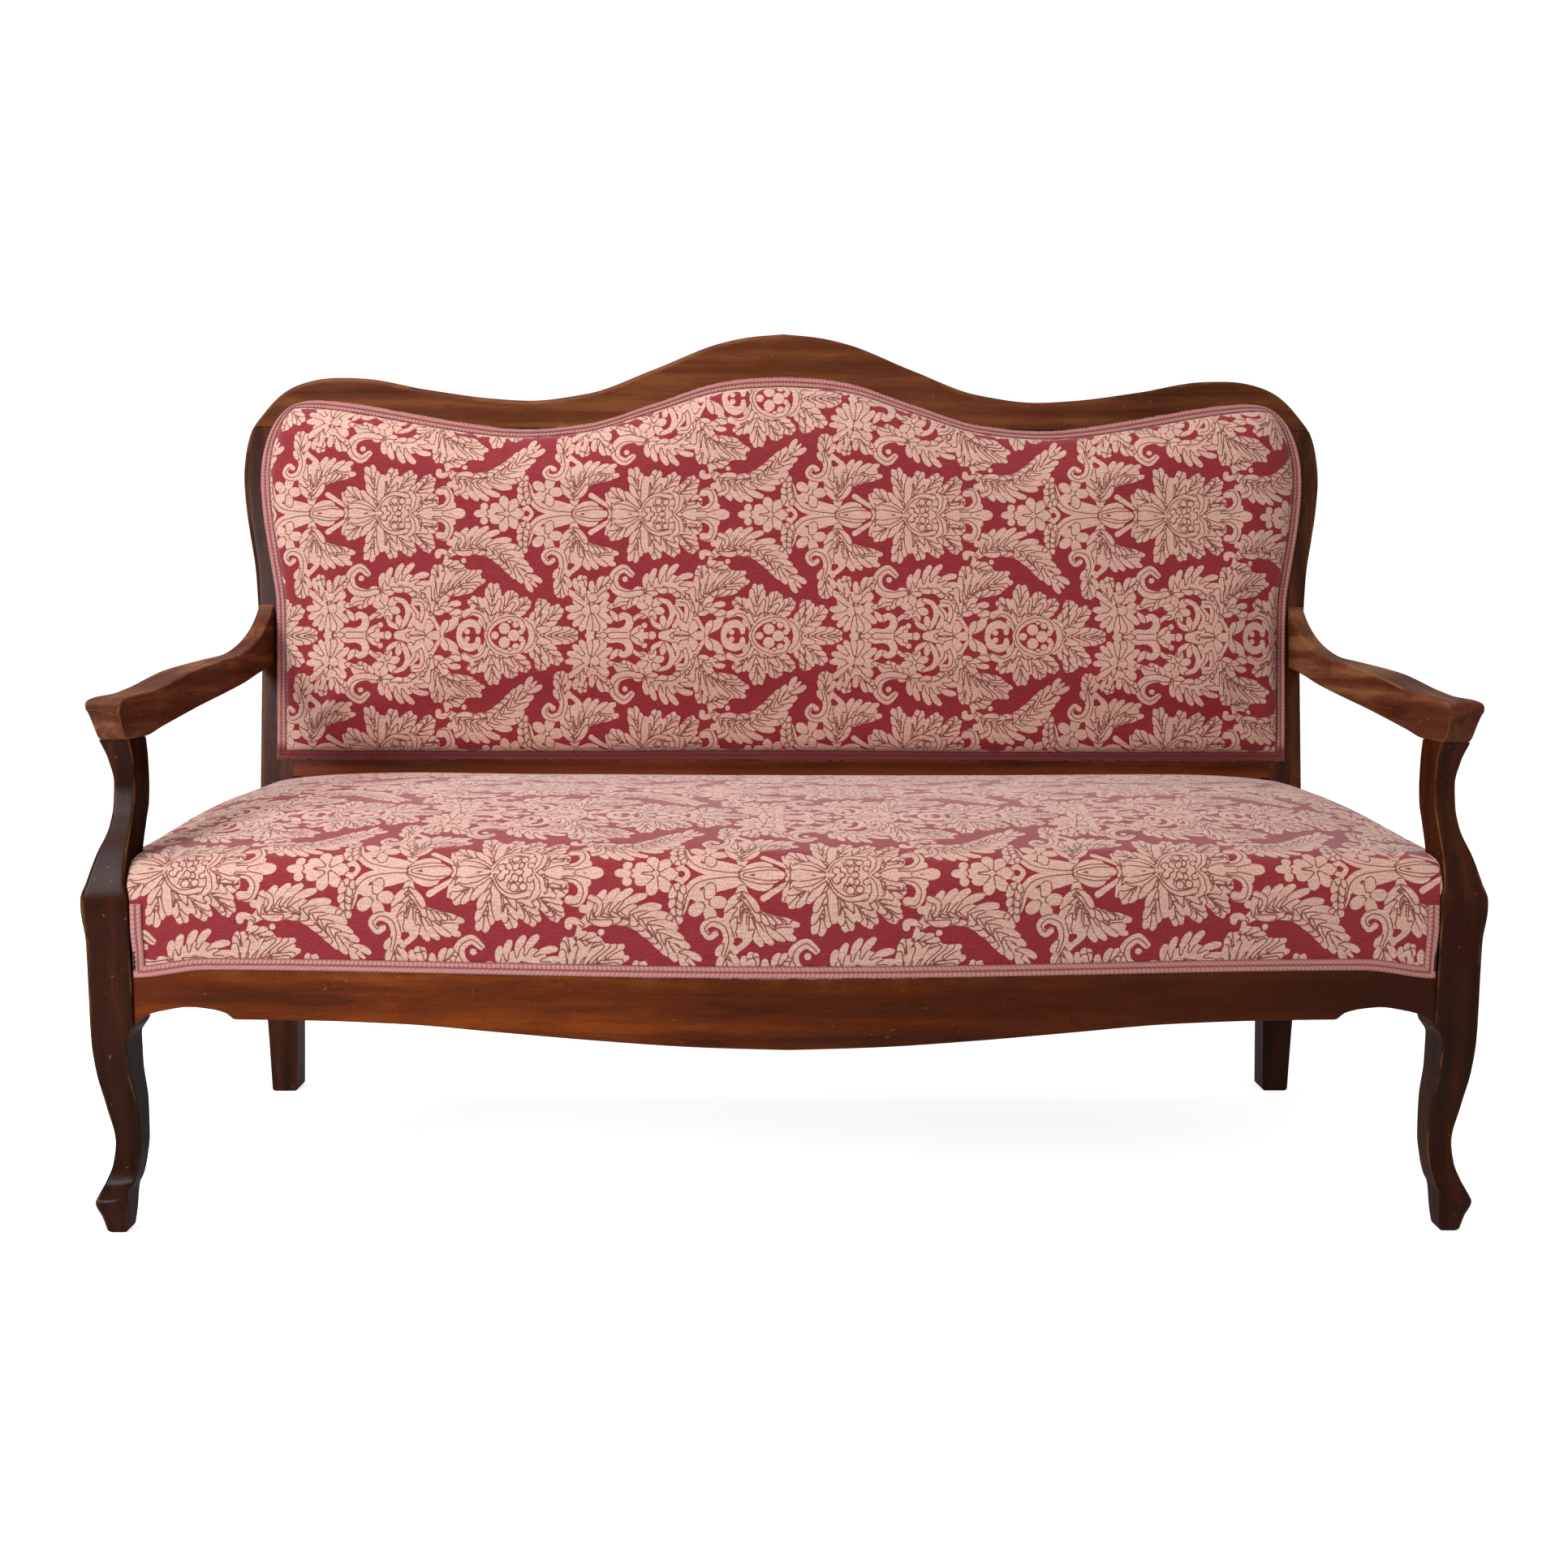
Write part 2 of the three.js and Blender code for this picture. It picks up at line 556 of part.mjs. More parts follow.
const armTenon = (grow) => block(
  [armTenonMiddle - tenonThickness / 2, armTenonMiddle + tenonThickness / 2],
  [backFace(armTenonZ[0]) - overrun, backFace(armTenonZ[0]) + tenonLength],
  armTenonZ,
  grow,
);
const armrest = cut(join(armBody, armTenon(0)), postTenon(clearance));
add('armrest_right', armrest, walnut);
add('armrest_left', mirrored(armrest), walnut);

const frontPost = cut(join(postBody(0), postTenon(0)), frontTenon(clearance), sideTenonFront(clearance));
add('front_post_right', frontPost, walnut);
add('front_post_left', mirrored(frontPost), walnut);
const stile = cut(
  join(stileBody(0), stileTenon(0)),
  sideTenonRear(clearance),
  rearTenon(clearance),
  lowerTenon(clearance),
  armTenon(clearance),
);
add('back_stile_right', stile, walnut);
add('back_stile_left', mirrored(stile), walnut);

// Corner blocks, notched round the post or the stile
function cornerBlock(corners) {
  const outline = new THREE.Shape(corners.map(([x, y]) => new THREE.Vector2(x, y)));
  const [low, high] = [webLedge + blockMargin, railTop - blockMargin];
  const geometry = new THREE.ExtrudeGeometry(outline, { depth: high - low, bevelEnabled: false });
  geometry.translate(0, 0, low);
  geometry.deleteAttribute('normal');
  geometry.deleteAttribute('uv');
  return mergeVertices(geometry);
}
const sideInner = (y) => sideAt(y) - railThickness - clearance;
const frontInner = Math.max(frontAt(postInner), frontAt(postInner - blockReach)) + railThickness + clearance;
const rearInner = seatBack - railThickness - clearance;
const frontBlock = cornerBlock([
  [postInner - blockReach, frontInner], [postInner - clearance, frontInner],
  [postInner - clearance, postRear + clearance],
  [sideInner(postRear), postRear + clearance], [sideInner(postRear + blockReach), postRear + blockReach],
]);
const rearBlock = cornerBlock([
  [sideInner(seatDepth - blockReach), seatDepth - blockReach], [sideInner(seatDepth), seatDepth - clearance],
  [stileFace - clearance, seatDepth - clearance], [stileFace - clearance, rearInner],
  [stileFace - blockReach, rearInner],
]);
add('corner_block_front_right', frontBlock, beech);
add('corner_block_front_left', mirrored(frontBlock), beech);
add('corner_block_rear_right', rearBlock, beech);
add('corner_block_rear_left', mirrored(rearBlock), beech);

// Seat webbing, woven over and under and tacked below the ledges of the rails
const webCentre = webLedge - clearance - webThickness / 2;
const weave = (webThickness + clearance) / 2;
const columnX = (k) => (k - (springColumns - 1) / 2) * springPitch;
const rowY = (m) => firstRow + m * rowPitch;
const webEnd = apronLip + webThickness;

function strap(from, to, crossings, firstUp, place) {
  const stations = [[from, 0]];
  crossings.forEach((at, i) => {
    const lift = (i + firstUp) % 2 ? weave : -weave;
    stations.push([at - webWidth / 2 - webThickness, lift], [at + webWidth / 2 + webThickness, lift]);
  });
  stations.push([to, 0]);
  return loft(stations.map(([at, lift]) => (
    [[-1, -1], [1, -1], [1, 1], [-1, 1]].map(([across, up]) => (
      place(at, across * webWidth / 2, webCentre + lift + up * webThickness / 2)
    ))
  )));
}
const columns = Array.from({ length: springColumns }, (_, k) => columnX(k));
const rows = Array.from({ length: springRows }, (_, m) => rowY(m));
columns.forEach((x, k) => {
  const from = Math.max(frontAt(x - webWidth / 2), frontAt(x + webWidth / 2)) + webEnd;
  const band = strap(from, seatBack - webEnd, rows, k, (y, across, z) => vector(x + across, y, z));
  add(`seat_web_cross_${k + 1}`, band, jute);
});
rows.forEach((y, m) => {
  const reach = sideAt(y + webWidth / 2) - webEnd;
  const band = strap(-reach, reach, columns, m + 1, (x, across, z) => vector(x, y + across, z));
  add(`seat_web_long_${m + 1}`, band, jute);
});

// Hourglass coil springs, seated on the crossings
const springBase = webCentre + weave + webThickness / 2 + clearance;
const springRiseShares = [[0, 0], [0.1, 0], [0.2, 0.066], [0.35, 0.261], [0.5, 0.5],
  [0.65, 0.739], [0.8, 0.934], [0.9, 1], [1, 1]];
const springRise = track(springRiseShares);
const springPath = steps(springTurns * curlSteps).map((t) => {
  const rise = springRise(t);
  const radius = lerp(springWaist, springRadius, (2 * t - 1) ** 2);
  const angle = t * springTurns * 2 * Math.PI;
  const z = wireRadius + rise * (springHeight - 2 * wireRadius);
  return vector(radius * Math.cos(angle), radius * Math.sin(angle), z);
});
const springWire = springPath.map((point, i) => {
  const ahead = springPath[Math.min(i + 1, springPath.length - 1)];
  const behind = springPath[Math.max(i - 1, 0)];
  const along = ahead.clone().sub(behind).normalize();
  const out = vector(point.x, point.y, 0).normalize();
  const side = out.clone().addScaledVector(along, -out.dot(along)).normalize();
  const up = along.clone().cross(side);
  return Array.from({ length: wireSides }, (_, k) => {
    const angle = k / wireSides * 2 * Math.PI;
    const across = side.clone().multiplyScalar(wireRadius * Math.cos(angle));
    return point.clone().add(across).addScaledVector(up, wireRadius * Math.sin(angle));
  });
});
const springGap = springPath.reduce((least, point, i) => (
  springPath.slice(i + curlSteps / 2).reduce((gap, other) => Math.min(gap, point.distanceTo(other)), least)
), Infinity) - 2 * wireRadius;
console.log(`least gap between the curls of a spring: ${springGap.toFixed(2)} mm`);
columns.forEach((x, k) => rows.forEach((y, m) => {
  const spring = loft(springWire).translate(x, y, springBase);
  add(`seat_spring_${k + 1}_${m + 1}`, spring, steel);
}));

// Spring canvas: tacked on the rails and raised over the springs
const canvasRise = springBase + springHeight - railTop;
const ramp = (distance) => THREE.MathUtils.smoothstep(distance, 0, canvasRamp);
const canvasAt = (x, y) => {
  const inside = ramp(sideAt(y) - railThickness - Math.abs(x)) * ramp(y - frontAt(x) - railThickness);
  return railTop + clearance + canvasRise * inside * ramp(seatBack - railThickness - y);
};
const canvasEdgeShare = 0.05; // further rows past the canvas, of its half width
const slopeShares = [0.15, 0.55, 1.03]; // rows of the canvas on its slopes, of their width
const slopeRows = [0, ...slopeShares.map((share) => railThickness - canvasMargin + share * canvasRamp)];
const slopeEnd = slopeRows[slopeRows.length - 1];
const canvasReach = half - sideRear - canvasMargin;
const canvasDeep = seatBack - frontSetback - 2 * canvasMargin;
const canvasAlong = [
  ...slopeRows.map((row) => row / canvasDeep),
  ...steps(3, slopeEnd / canvasDeep, 1 - slopeEnd / canvasDeep).slice(1, -1),
  ...slopeRows.map((row) => 1 - row / canvasDeep).reverse(),
];
const canvasSide = [
  ...steps(4, 0, 1 - slopeEnd / canvasReach).slice(0, -1),
  ...slopeRows.map((row) => 1 - row / canvasReach).reverse(),
];
const canvasAcross = [...canvasSide.slice(1).reverse().map((u) => -u), ...canvasSide];
const canvasPoint = (lift) => (u, v) => {
  const rough = lerp(frontSetback, seatBack, v);
  const x = u * (sideAt(rough) - canvasMargin);
  const y = lerp(frontAt(x) + canvasMargin, seatBack - canvasMargin, v);
  return vector(x, y, canvasAt(x, y) + lift);
};
const wide = (list, low, high) => [low - canvasEdgeShare, ...list, high + canvasEdgeShare];
const cutters = [postBody(clearance), stileBody(clearance)].flatMap((tool) => [tool, mirrored(tool)]);
const canvas = blanket(canvasAcross, canvasAlong, canvasPoint(canvasThickness), canvasPoint(0));
add('spring_canvas', cut(canvas, ...cutters), jute);

// Seat form: a crowned block with rolled edges. The roll gives insets as shares of its depth and
// heights as shares of the rise from the cover's edge.
const rollShares = [[0, 0], [0, 0.13], [-0.1, 0.4], [-0.08, 0.66], [0.2, 0.89], [0.55, 0.975], [1, 1]];
const rearRollShares = [[0, 0], [0, 0.86], [0.4, 0.95], [1, 1]];
const crownShares = [[0, 0], [0.12, 0.45], [0.3, 0.85], [0.55, 1], [0.8, 0.85], [1, 0.55]];
const crownTrack = track(crownShares);
const seatRearEdge = seatBack - rebate - coverThickness;

function seatTop(x, y) {
  const v = THREE.MathUtils.clamp((y - frontAt(x)) / (seatRearEdge - frontAt(x)), 0, 1);
  const u = Math.min(Math.abs(x) / sideAt(y), 1);
  return lerp(seatFront, seatRear, v) + seatCrown * (1 - u ** 3) * crownTrack(v);
}

function seatForm(inset, bottom) {
  const inner = steps(10, -1, 1).slice(1, -1);
  const across = [
    ...rollShares.map(([depth, height]) => ({ side: -1, depth, height })),
    ...inner.map((s) => ({ side: s, depth: 1, height: 1 })),
    ...rollShares.map(([depth, height]) => ({ side: 1, depth, height })).reverse(),
  ];
  const along = [
    ...rollShares.map(([depth, height]) => ({ t: 0, depth, height, roll: true })),
    ...steps(6).slice(1, -1).map((t) => ({ t, depth: 0, height: 1, roll: false })),
    ...rearRollShares.map(([depth, height]) => ({ t: 1, depth: -depth, height, roll: true })).reverse(),
  ];
  const place = (column, row) => {
    const rowAt = (front) => {
      const rear = seatRearEdge - inset;
      const start = row.roll ? lerp(front, rear, row.t) : lerp(front + seatRoll, rear - seatRoll, row.t);
      return start + row.depth * seatRoll;
    };
    const edge = sideAt(rowAt(frontSetback + inset)) - inset;
    const x = column.side * (edge - column.depth * seatRoll);
    const y = rowAt(frontAt(x) + inset);
    const height = Math.min(column.height, row.height);
    const z = height === 0 ? bottom : lerp(coverEdge, seatTop(x, y) - inset, height);
    return vector(x, y, z);
  };
  return sheetBlock(across, along, place, bottom);
}

// Block under a grid of points, closed by a flat base
function sheetBlock(across, along, place, bottom) {
  const rim = bottom - overrun;
  return blanket(across, along, place, (column, row) => place(column, row).setZ(rim));
}

const lower = (z) => block([-overallWidth, overallWidth], [-overallWidth, overallWidth], [-backHeight, z]);
const backClearTop = panelBottom + lowerRailHeight;
const backClear = leaning(-half, half, lowerRailBottom, backClearTop, 0, 3 * backThickness, clearance);
const rearRailClear = block(
  [-half, half],
  [seatBack - railThickness, seatBack + overrun],
  [rearLow, railTop],
  clearance,
);
const coverOuter = seatForm(0, coverEdge - overrun);
const coverInner = seatForm(coverThickness, coverEdge - 2 * overrun);
const railSection = [
  [coverThickness, webLedge], [coverThickness, railTop + clearance],
  [railThickness, railTop + clearance], [railThickness, webLedge],
];
const railClear = loft(frontRailX.map((x) => (
  railSection.map(([depth, z]) => vector(x, frontAt(x) + depth, z))
)));
const coverClear = [...cutters, backClear, rearRailClear, railClear];
const seatCover = cut(coverOuter, lower(coverEdge), coverInner, ...coverClear);
add('seat_cover', seatCover, damask);

const canvasOver = sheetBlock(
  wide(canvasAcross, -1, 1),
  wide(canvasAlong, 0, 1),
  canvasPoint(canvasThickness + clearance),
  webLedge,
);
const seatPad = cut(
  seatForm(coverThickness + clearance, coverEdge - overrun),
  lower(railTop + clearance),
  canvasOver,
  ...cutters,
  backClear,
);
add('seat_stuffing', seatPad, stuffing);

// Gimp round the seat, over the cover's lower edge
const gimpLevels = [coverEdge - clearance, coverEdge + gimpWidth];
const band = (stations, place) => loft(stations.map((s) => (
  [[clearance, 0], [clearance, 1], [clearance + gimpThickness, 1], [clearance + gimpThickness, 0]]
    .map(([out, level]) => place(s, out, gimpLevels[level]))
)));
const frontGimp = band(frontRailX, (x, out, z) => vector(x, frontAt(x) - out, z));
add('seat_gimp_front', cut(frontGimp, seatForm(-clearance, coverEdge - overrun)), braid);
const sideGimp = band(
  [postRear + clearance, seatDepth - clearance],
  (y, out, z) => vector(sideAt(y) + out, y, z),
);
add('seat_gimp_right', sideGimp, braid);
add('seat_gimp_left', mirrored(sideGimp), braid);

// Dust cover under the webbing
const dustTop = webCentre - weave - webThickness / 2 - clearance;
const dustPoint = (z) => (u, v) => {
  const x = u * (sideAt(lerp(frontSetback, seatBack, v)) - apronLip - webThickness);
  const front = frontAt(x) + apronLip + webThickness;
  return vector(x, lerp(front, seatBack - apronLip - webThickness, v), z);
};
const dustUnder = dustPoint(dustTop - canvasThickness);
const dustCover = blanket(steps(20, -1, 1), steps(2), dustPoint(dustTop), dustUnder);
add('dust_cover', cut(dustCover, ...cutters), cambric);

// Back upholstery: its sides, inset from the crest's reach by shares of the stile's width, at
// shares of the height from the top of the arm to the top corner
const panelLowShare = 0.955; // inset of the lower corners from the crest's reach, of the stile's width
const panelSideShares = [[0, 0.873], [0.35, 0.494], [0.5, 0.362], [0.636, 0.297], [0.73, 0.329],
  [0.825, 0.527], [0.92, 0.791], [1, 1.252]];
const panelInset = (share) => crestReach - share * stileWidth;
const panelCorner = panelTop(panelInset(panelSideShares[panelSideShares.length - 1][1]));
const armUpShare = (armEndTop - panelBottom) / (panelCorner - panelBottom);
const panelSide = track([
  [0, panelInset(panelLowShare)],
  ...panelSideShares.map(([v, share]) => [lerp(armUpShare, 1, v), panelInset(share)]),
]);

function panelPoint(u, v, depth) {
  const x = u * panelSide(v);
  const z = lerp(panelBottom, panelTop(Math.abs(u) * panelSide(1)), v);
  return vector(x, backFace(z) - depth, z);
}

backWebShares.map((share) => share * half).forEach((x, i) => {
  const crest = Math.min(panelTop(Math.abs(x) - webWidth / 2), panelTop(Math.abs(x) + webWidth / 2));
  const web = leaning(
    x - webWidth / 2,
    x + webWidth / 2,
    panelBottom + flange + padHem,
    crest - flange - padHem,
    -clearance - webThickness,
    -clearance,
  );
  add(`back_web_${i + 1}`, web, jute);
});
const backCanvasDepth = webThickness + 2 * clearance;
const panelHeight = panelTop(0) - panelBottom;
const panelMiddle = panelHeight / 2;
const hemShare = (flange + canvasMargin) / crestReach;
const hemRise = (flange + canvasMargin) / panelHeight;
const canvasUs = steps(16, -1 + hemShare, 1 - hemShare);
const canvasVs = steps(8, hemRise, 1 - hemRise);
add('back_canvas', blanket(
  canvasUs,
  canvasVs,
  (u, v) => panelPoint(u, v, backCanvasDepth + canvasThickness),
  (u, v) => panelPoint(u, v, backCanvasDepth),
), jute);

// Rise of the back cover over its flange, at a distance from the border
const rollUp = (distance) => {
  const t = THREE.MathUtils.clamp((distance - flange) / backRoll, 0, 1);
  return Math.sqrt(1 - (1 - t) ** 2);
};
const edgeShares = [0, 1, 1.1, 1.6, 2.6, 4]; // rows of the border, in widths of the flange
const edgeDistances = edgeShares.map((share) => share * flange);
const rollStations = (span, count) => {
  const edge = edgeDistances.map((distance) => distance / span);
  const last = edge[edge.length - 1];
  return [...edge, ...steps(count, last, 2 - last).slice(1, -1), ...edge.map((e) => 2 - e).reverse()];
};
const backUs = rollStations(crestReach, 12).map((s) => s - 1);
const backVs = rollStations(panelMiddle, 4).map((s) => s / 2);
const backDepth = (u, v) => {
  const rise = rollUp((1 - Math.abs(u)) * crestReach) * rollUp((1 - Math.abs(2 * v - 1)) * panelMiddle);
  return backPuff * rise + backCrown * rise * (1 - u ** 4) * (1 - (2 * v - 1) ** 4);
};
const coverLift = clearance + coverThickness;
add('back_cover', blanket(
  backUs,
  backVs,
  (u, v) => panelPoint(u, v, coverLift + backDepth(u, v)),
  (u, v) => panelPoint(u, v, clearance + backDepth(u, v)),
), damask);
const padUs = backUs.filter((u) => (1 - Math.abs(u)) * crestReach > flange + padHem);
const padVs = backVs.filter((v) => (1 - Math.abs(2 * v - 1)) * panelMiddle > flange + padHem);
const padBase = backCanvasDepth + canvasThickness + clearance;
add('back_stuffing', blanket(
  padUs,
  padVs,
  (u, v) => panelPoint(u, v, backDepth(u, v) - clearance),
  (u, v) => panelPoint(u, v, Math.min(padBase, backDepth(u, v) - 2 * clearance)),
), stuffing);

// Gimp round the back, on the flange
const gimpInset = (flange - gimpWidth) / 2;
const loopUs = backUs.map((u) => [u, 0]);
const loopVs = backVs.slice(1, -1).map((v) => [1, v]);
const topUs = [...backUs].reverse().map((u) => [u, 1]);
const leftVs = [...backVs].slice(1, -1).reverse().map((v) => [-1, v]);
const loopPlaces = [...loopUs, ...loopVs, ...topUs, ...leftVs].filter(([u, v]) => (
  ((1 - Math.abs(u)) * crestReach > flange / 2 || Math.abs(u) === 1) &&
  ((1 - Math.abs(2 * v - 1)) * panelMiddle > flange / 2 || v === 0 || v === 1)
));
const inFrom = (u, v, distance) => panelPoint(
  THREE.MathUtils.clamp(u, -1 + distance / crestReach, 1 - distance / crestReach),
  THREE.MathUtils.clamp(v, distance / panelHeight, 1 - distance / panelHeight),
  0,
);
const gimpRings = loopPlaces.map(([u, v]) => (
  [[gimpInset, 0], [gimpInset, gimpThickness], [flange - gimpInset, gimpThickness], [flange - gimpInset, 0]]
    .map(([distance, lift]) => inFrom(u, v, distance).add(vector(0, -(coverLift + clearance + lift), 0)))
));
const gimpCount = gimpRings.length * 4;
const gimpFaces = gimpRings.flatMap((_, r) => [0, 1, 2, 3].flatMap((k) => {
  const [a, b] = [r * 4 + k, r * 4 + (k + 1) % 4];
  return [[a, b, (b + 4) % gimpCount], [a, (b + 4) % gimpCount, (a + 4) % gimpCount]];
}));
add('back_gimp', body(gimpRings.flat(), gimpFaces), braid);

// Outer back: one cloth over the backs of the crest, stiles and rear rail
const outerBottom = rearLow + gimpWidth;
const outerLeanShare = 0.2; // rows of the cloth below the height where the back starts to lean
const outerPoint = (lift) => (u, v) => {
  const top = panelTop(Math.abs(u) * panelSide(1));
  const upper = (v - outerLeanShare) / (1 - outerLeanShare);
  const z = upper < 0 ? lerp(outerBottom, leanStart, v / outerLeanShare) : lerp(leanStart, top, upper);
  const x = u * panelSide((z - panelBottom) / (top - panelBottom));
  return vector(x, rearFace(z) + clearance + lift, z);
};
add('outer_back_cloth', blanket(
  steps(18, -1, 1),
  [0, ...steps(8, outerLeanShare, 1)],
  outerPoint(canvasThickness),
  outerPoint(0),
), damask);

// The origin stands on the floor, under the middle of the settee
const bounds = new THREE.Box3().setFromObject(settee);
settee.position.set(-(bounds.min.x + bounds.max.x) / 2, -(bounds.min.y + bounds.max.y) / 2, -bounds.min.z);

export default settee;
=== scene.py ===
import math
import bpy
import numpy as np
from mathutils import Matrix, Vector


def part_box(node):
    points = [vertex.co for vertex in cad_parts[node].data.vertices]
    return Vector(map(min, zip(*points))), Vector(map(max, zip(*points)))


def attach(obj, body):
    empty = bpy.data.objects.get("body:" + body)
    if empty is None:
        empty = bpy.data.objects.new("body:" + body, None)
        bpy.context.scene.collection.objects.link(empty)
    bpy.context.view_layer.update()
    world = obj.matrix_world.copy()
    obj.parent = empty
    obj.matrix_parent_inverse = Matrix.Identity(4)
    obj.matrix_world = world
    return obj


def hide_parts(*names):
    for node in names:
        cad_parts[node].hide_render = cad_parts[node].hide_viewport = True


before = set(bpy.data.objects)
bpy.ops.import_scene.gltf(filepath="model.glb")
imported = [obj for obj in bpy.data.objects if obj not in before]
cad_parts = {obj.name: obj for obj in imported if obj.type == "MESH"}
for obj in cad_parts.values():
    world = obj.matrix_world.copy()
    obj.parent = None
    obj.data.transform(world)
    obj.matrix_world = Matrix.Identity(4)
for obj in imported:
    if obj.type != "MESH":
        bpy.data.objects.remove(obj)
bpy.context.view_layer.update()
scene = bpy.context.scene
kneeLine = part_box("front_post_right")[0].y  # packed Y of the knees, which the drawing calls zero

# The camera comes first. It stands where the photograph was taken.
cameraSettings = {"place": (-0.0272, -1.9507, 0.7449), "yaw": 0.0116, "pitch": 0.1064, "roll": 0.0029,
                  "lens": 39.28, "sensor": 36}


def makeCamera(s):
    # Forward is turned by yaw and dipped by pitch; right and up are then rolled about it
    yaw, pitch, roll = s["yaw"], s["pitch"], s["roll"]
    right = Vector((math.cos(yaw), -math.sin(yaw), 0))
    forward = Vector((math.sin(yaw) * math.cos(pitch), math.cos(yaw) * math.cos(pitch), -math.sin(pitch)))
    up = right.cross(forward)
    across = right * math.cos(roll) + up * math.sin(roll)
    upright = up * math.cos(roll) - right * math.sin(roll)
    camera = bpy.data.objects.new("camera", bpy.data.cameras.new("camera"))
    scene.collection.objects.link(camera)
    turn = Matrix((across, upright, -forward)).transposed().to_4x4()
    camera.matrix_world = Matrix.Translation(Vector(s["place"]) + Vector((0, kneeLine, 0))) @ turn
    camera.data.lens = s["lens"]
    camera.data.sensor_width = s["sensor"]
    scene.camera = camera


makeCamera(cameraSettings)
print("camera placed")

# The drawing: millimetres, Y zero at the knees, the same sizes as the part's own source
drawing = {
    "half": 820, "seatDepth": 560, "backHeight": 1143, "crestDrop": 143, "legHeight": 252, "coverEdge": 318,
    "railTop": 350, "webLedge": 276, "armJoint": 583, "armRise": 49, "seatFront": 446, "seatRear": 470,
    "seatCrown": 34, "leanStart": 434, "lean": math.radians(8.26), "post": 62, "stileWidth": 48,
    "stileDepth": 44, "backThickness": 33, "rake": 43, "setback": 8, "bow": 50, "bowReach": 0.84,
    "sideFront": 17, "sideRear": 50, "arch": 21, "railThickness": 38, "lip": 14, "rebate": 2.8, "fit": 0.3,
    "panelBottom": 511, "flange": 15, "gimpWidth": 14, "roll": 52, "puff": 27, "crown": 14, "seatRoll": 44,
    "crestOverlap": 35, "backJoint": 1000, "rearLow": 258, "cloth": 2.5, "seatBack": 604,
}
d = type("Sizes", (), drawing)


def mix(a, b, share):
    # a where share is zero, b where it is one, evenly between
    return a + (b - a) * share


def smooth(x, low, high):
    # Cubic step from 0 at low to 1 at high
    t = np.clip((x - low) / (high - low), 0, 1)
    return t * t * (3 - 2 * t)


def track(stations, column=1):
    # Cubic through rising stations; each slope is the harmonic mean of its two climbs, so nothing overshoots
    at, values = np.array(stations, float)[:, [0, column]].T
    climbs = np.diff(values) / np.diff(at)
    before, after = np.append(climbs[:1], climbs), np.append(climbs, climbs[-1:])
    level = before * after <= 0
    slopes = np.where(level, 0, 2 * before * after / np.where(level, 1, before + after))

    def curve(x):
        x = np.clip(x, at[0], at[-1])
        i = np.clip(np.searchsorted(at, x, side="right") - 1, 0, len(climbs) - 1)
        span = at[i + 1] - at[i]
        t = (x - at[i]) / span
        bend = slopes[i] * (1 - t) - slopes[i + 1] * t
        return values[i] + (values[i + 1] - values[i]) * t * t * (3 - 2 * t) + span * t * (1 - t) * bend
    return curve


def tracks(stations):
    # One curve for each column after the first
    return [track(stations, column) for column in range(1, len(stations[0]))]


def through(rows, at):
    # Each column of the numbered rows as a smooth track, at the numbers given
    return [curve(at) for curve in tracks([[i] + row for i, row in enumerate(rows)])]


def backFace(z):
    # Front face of the back frame: the seat's depth plus the tangent of the lean times the height past its start
    return d.seatDepth + np.maximum(z - d.leanStart, 0) * math.tan(d.lean)


def rearFace(z):
    # The stile's depth behind the front face, which thins evenly with height
    thinning = (d.stileDepth - d.backThickness) / (d.backHeight - d.leanStart)
    return backFace(z) + d.stileDepth - np.maximum(z - d.leanStart, 0) * thinning


# Posts: height share, then outer, inner, front and rear face as shares of the post; up to 6 mm inside the solids
legShares = [
    [0, .28, .66, .18, .64], [.08, .2, .71, .12, .69], [.155, .11, .745, .04, .73], [.19, .16, .76, .13, .76],
    [.24, .25, .805, .28, .83], [.32, .36, .86, .38, .9], [.42, .4, .89, .43, .97], [.6, .28, .88, .34, 1],
    [.77, .18, .81, .19, 1], [.92, .14, .8, .11, 1], [1, .14, .97, .08, 1],
]
supportShares = [
    [0, .12, .97, .03, 1], [.17, .055, .97, 0, 1], [.22, .06, .97, .02, 1.01], [.305, .17, .9, .1, 1.06],
    [.425, .3, .89, .26, 1.16], [.571, .5, .92, .48, 1.32], [.674, .54, .95, .61, 1.42],
    [.79, .54, .945, .68, 1.48], [.9, .46, .94, .65, 1.47], [1, .36, .93, .5, 1.42],
]
postStations = [[row[0] * d.legHeight] + [s * d.post for s in row[1:]] for row in legShares]
postStations += [[mix(d.railTop, d.armJoint, row[0])] + [s * d.post for s in row[1:]] for row in supportShares]
postOuter, postInner, postFront, postRear = tracks(postStations)
postInnerX = d.half - float(postInner(d.railTop))
postRearY = float(postRear(d.railTop))

armEndLow, armEndTop = d.armJoint + 1.33 * d.armRise, d.armJoint + 3.16 * d.armRise
rearLegShares = [[0, .9, 1.7, 1], [.44, .9, 1.84, .66], [.8, .94, 1.96, .17], [1, 1.04, 2.04, 0]]
backPostShares = [[0, .875, 2.04], [.2, .77, 1.97], [.389, .594, 1.83], [.572, .44, 1.7], [.732, .365, 1.6],
                  [.849, .42, 1.65], [.924, .48, 1.75], [1, .61, 1.87]]
stileStations = [[row[0] * d.legHeight, row[1] * d.stileWidth, row[2] * d.stileWidth, row[3] * d.rake]
                 for row in rearLegShares]
stileStations += [[z, 1.04 * d.stileWidth, 2.04 * d.stileWidth, 0] for z in (d.leanStart, armEndLow)]
stileStations += [[mix(armEndTop, d.backJoint, row[0]), row[1] * d.stileWidth, row[2] * d.stileWidth, 0]
                  for row in backPostShares]
stileOuter, stileInner, stileRake = tracks(stileStations)
crestReach = d.half - float(stileOuter(d.backJoint))

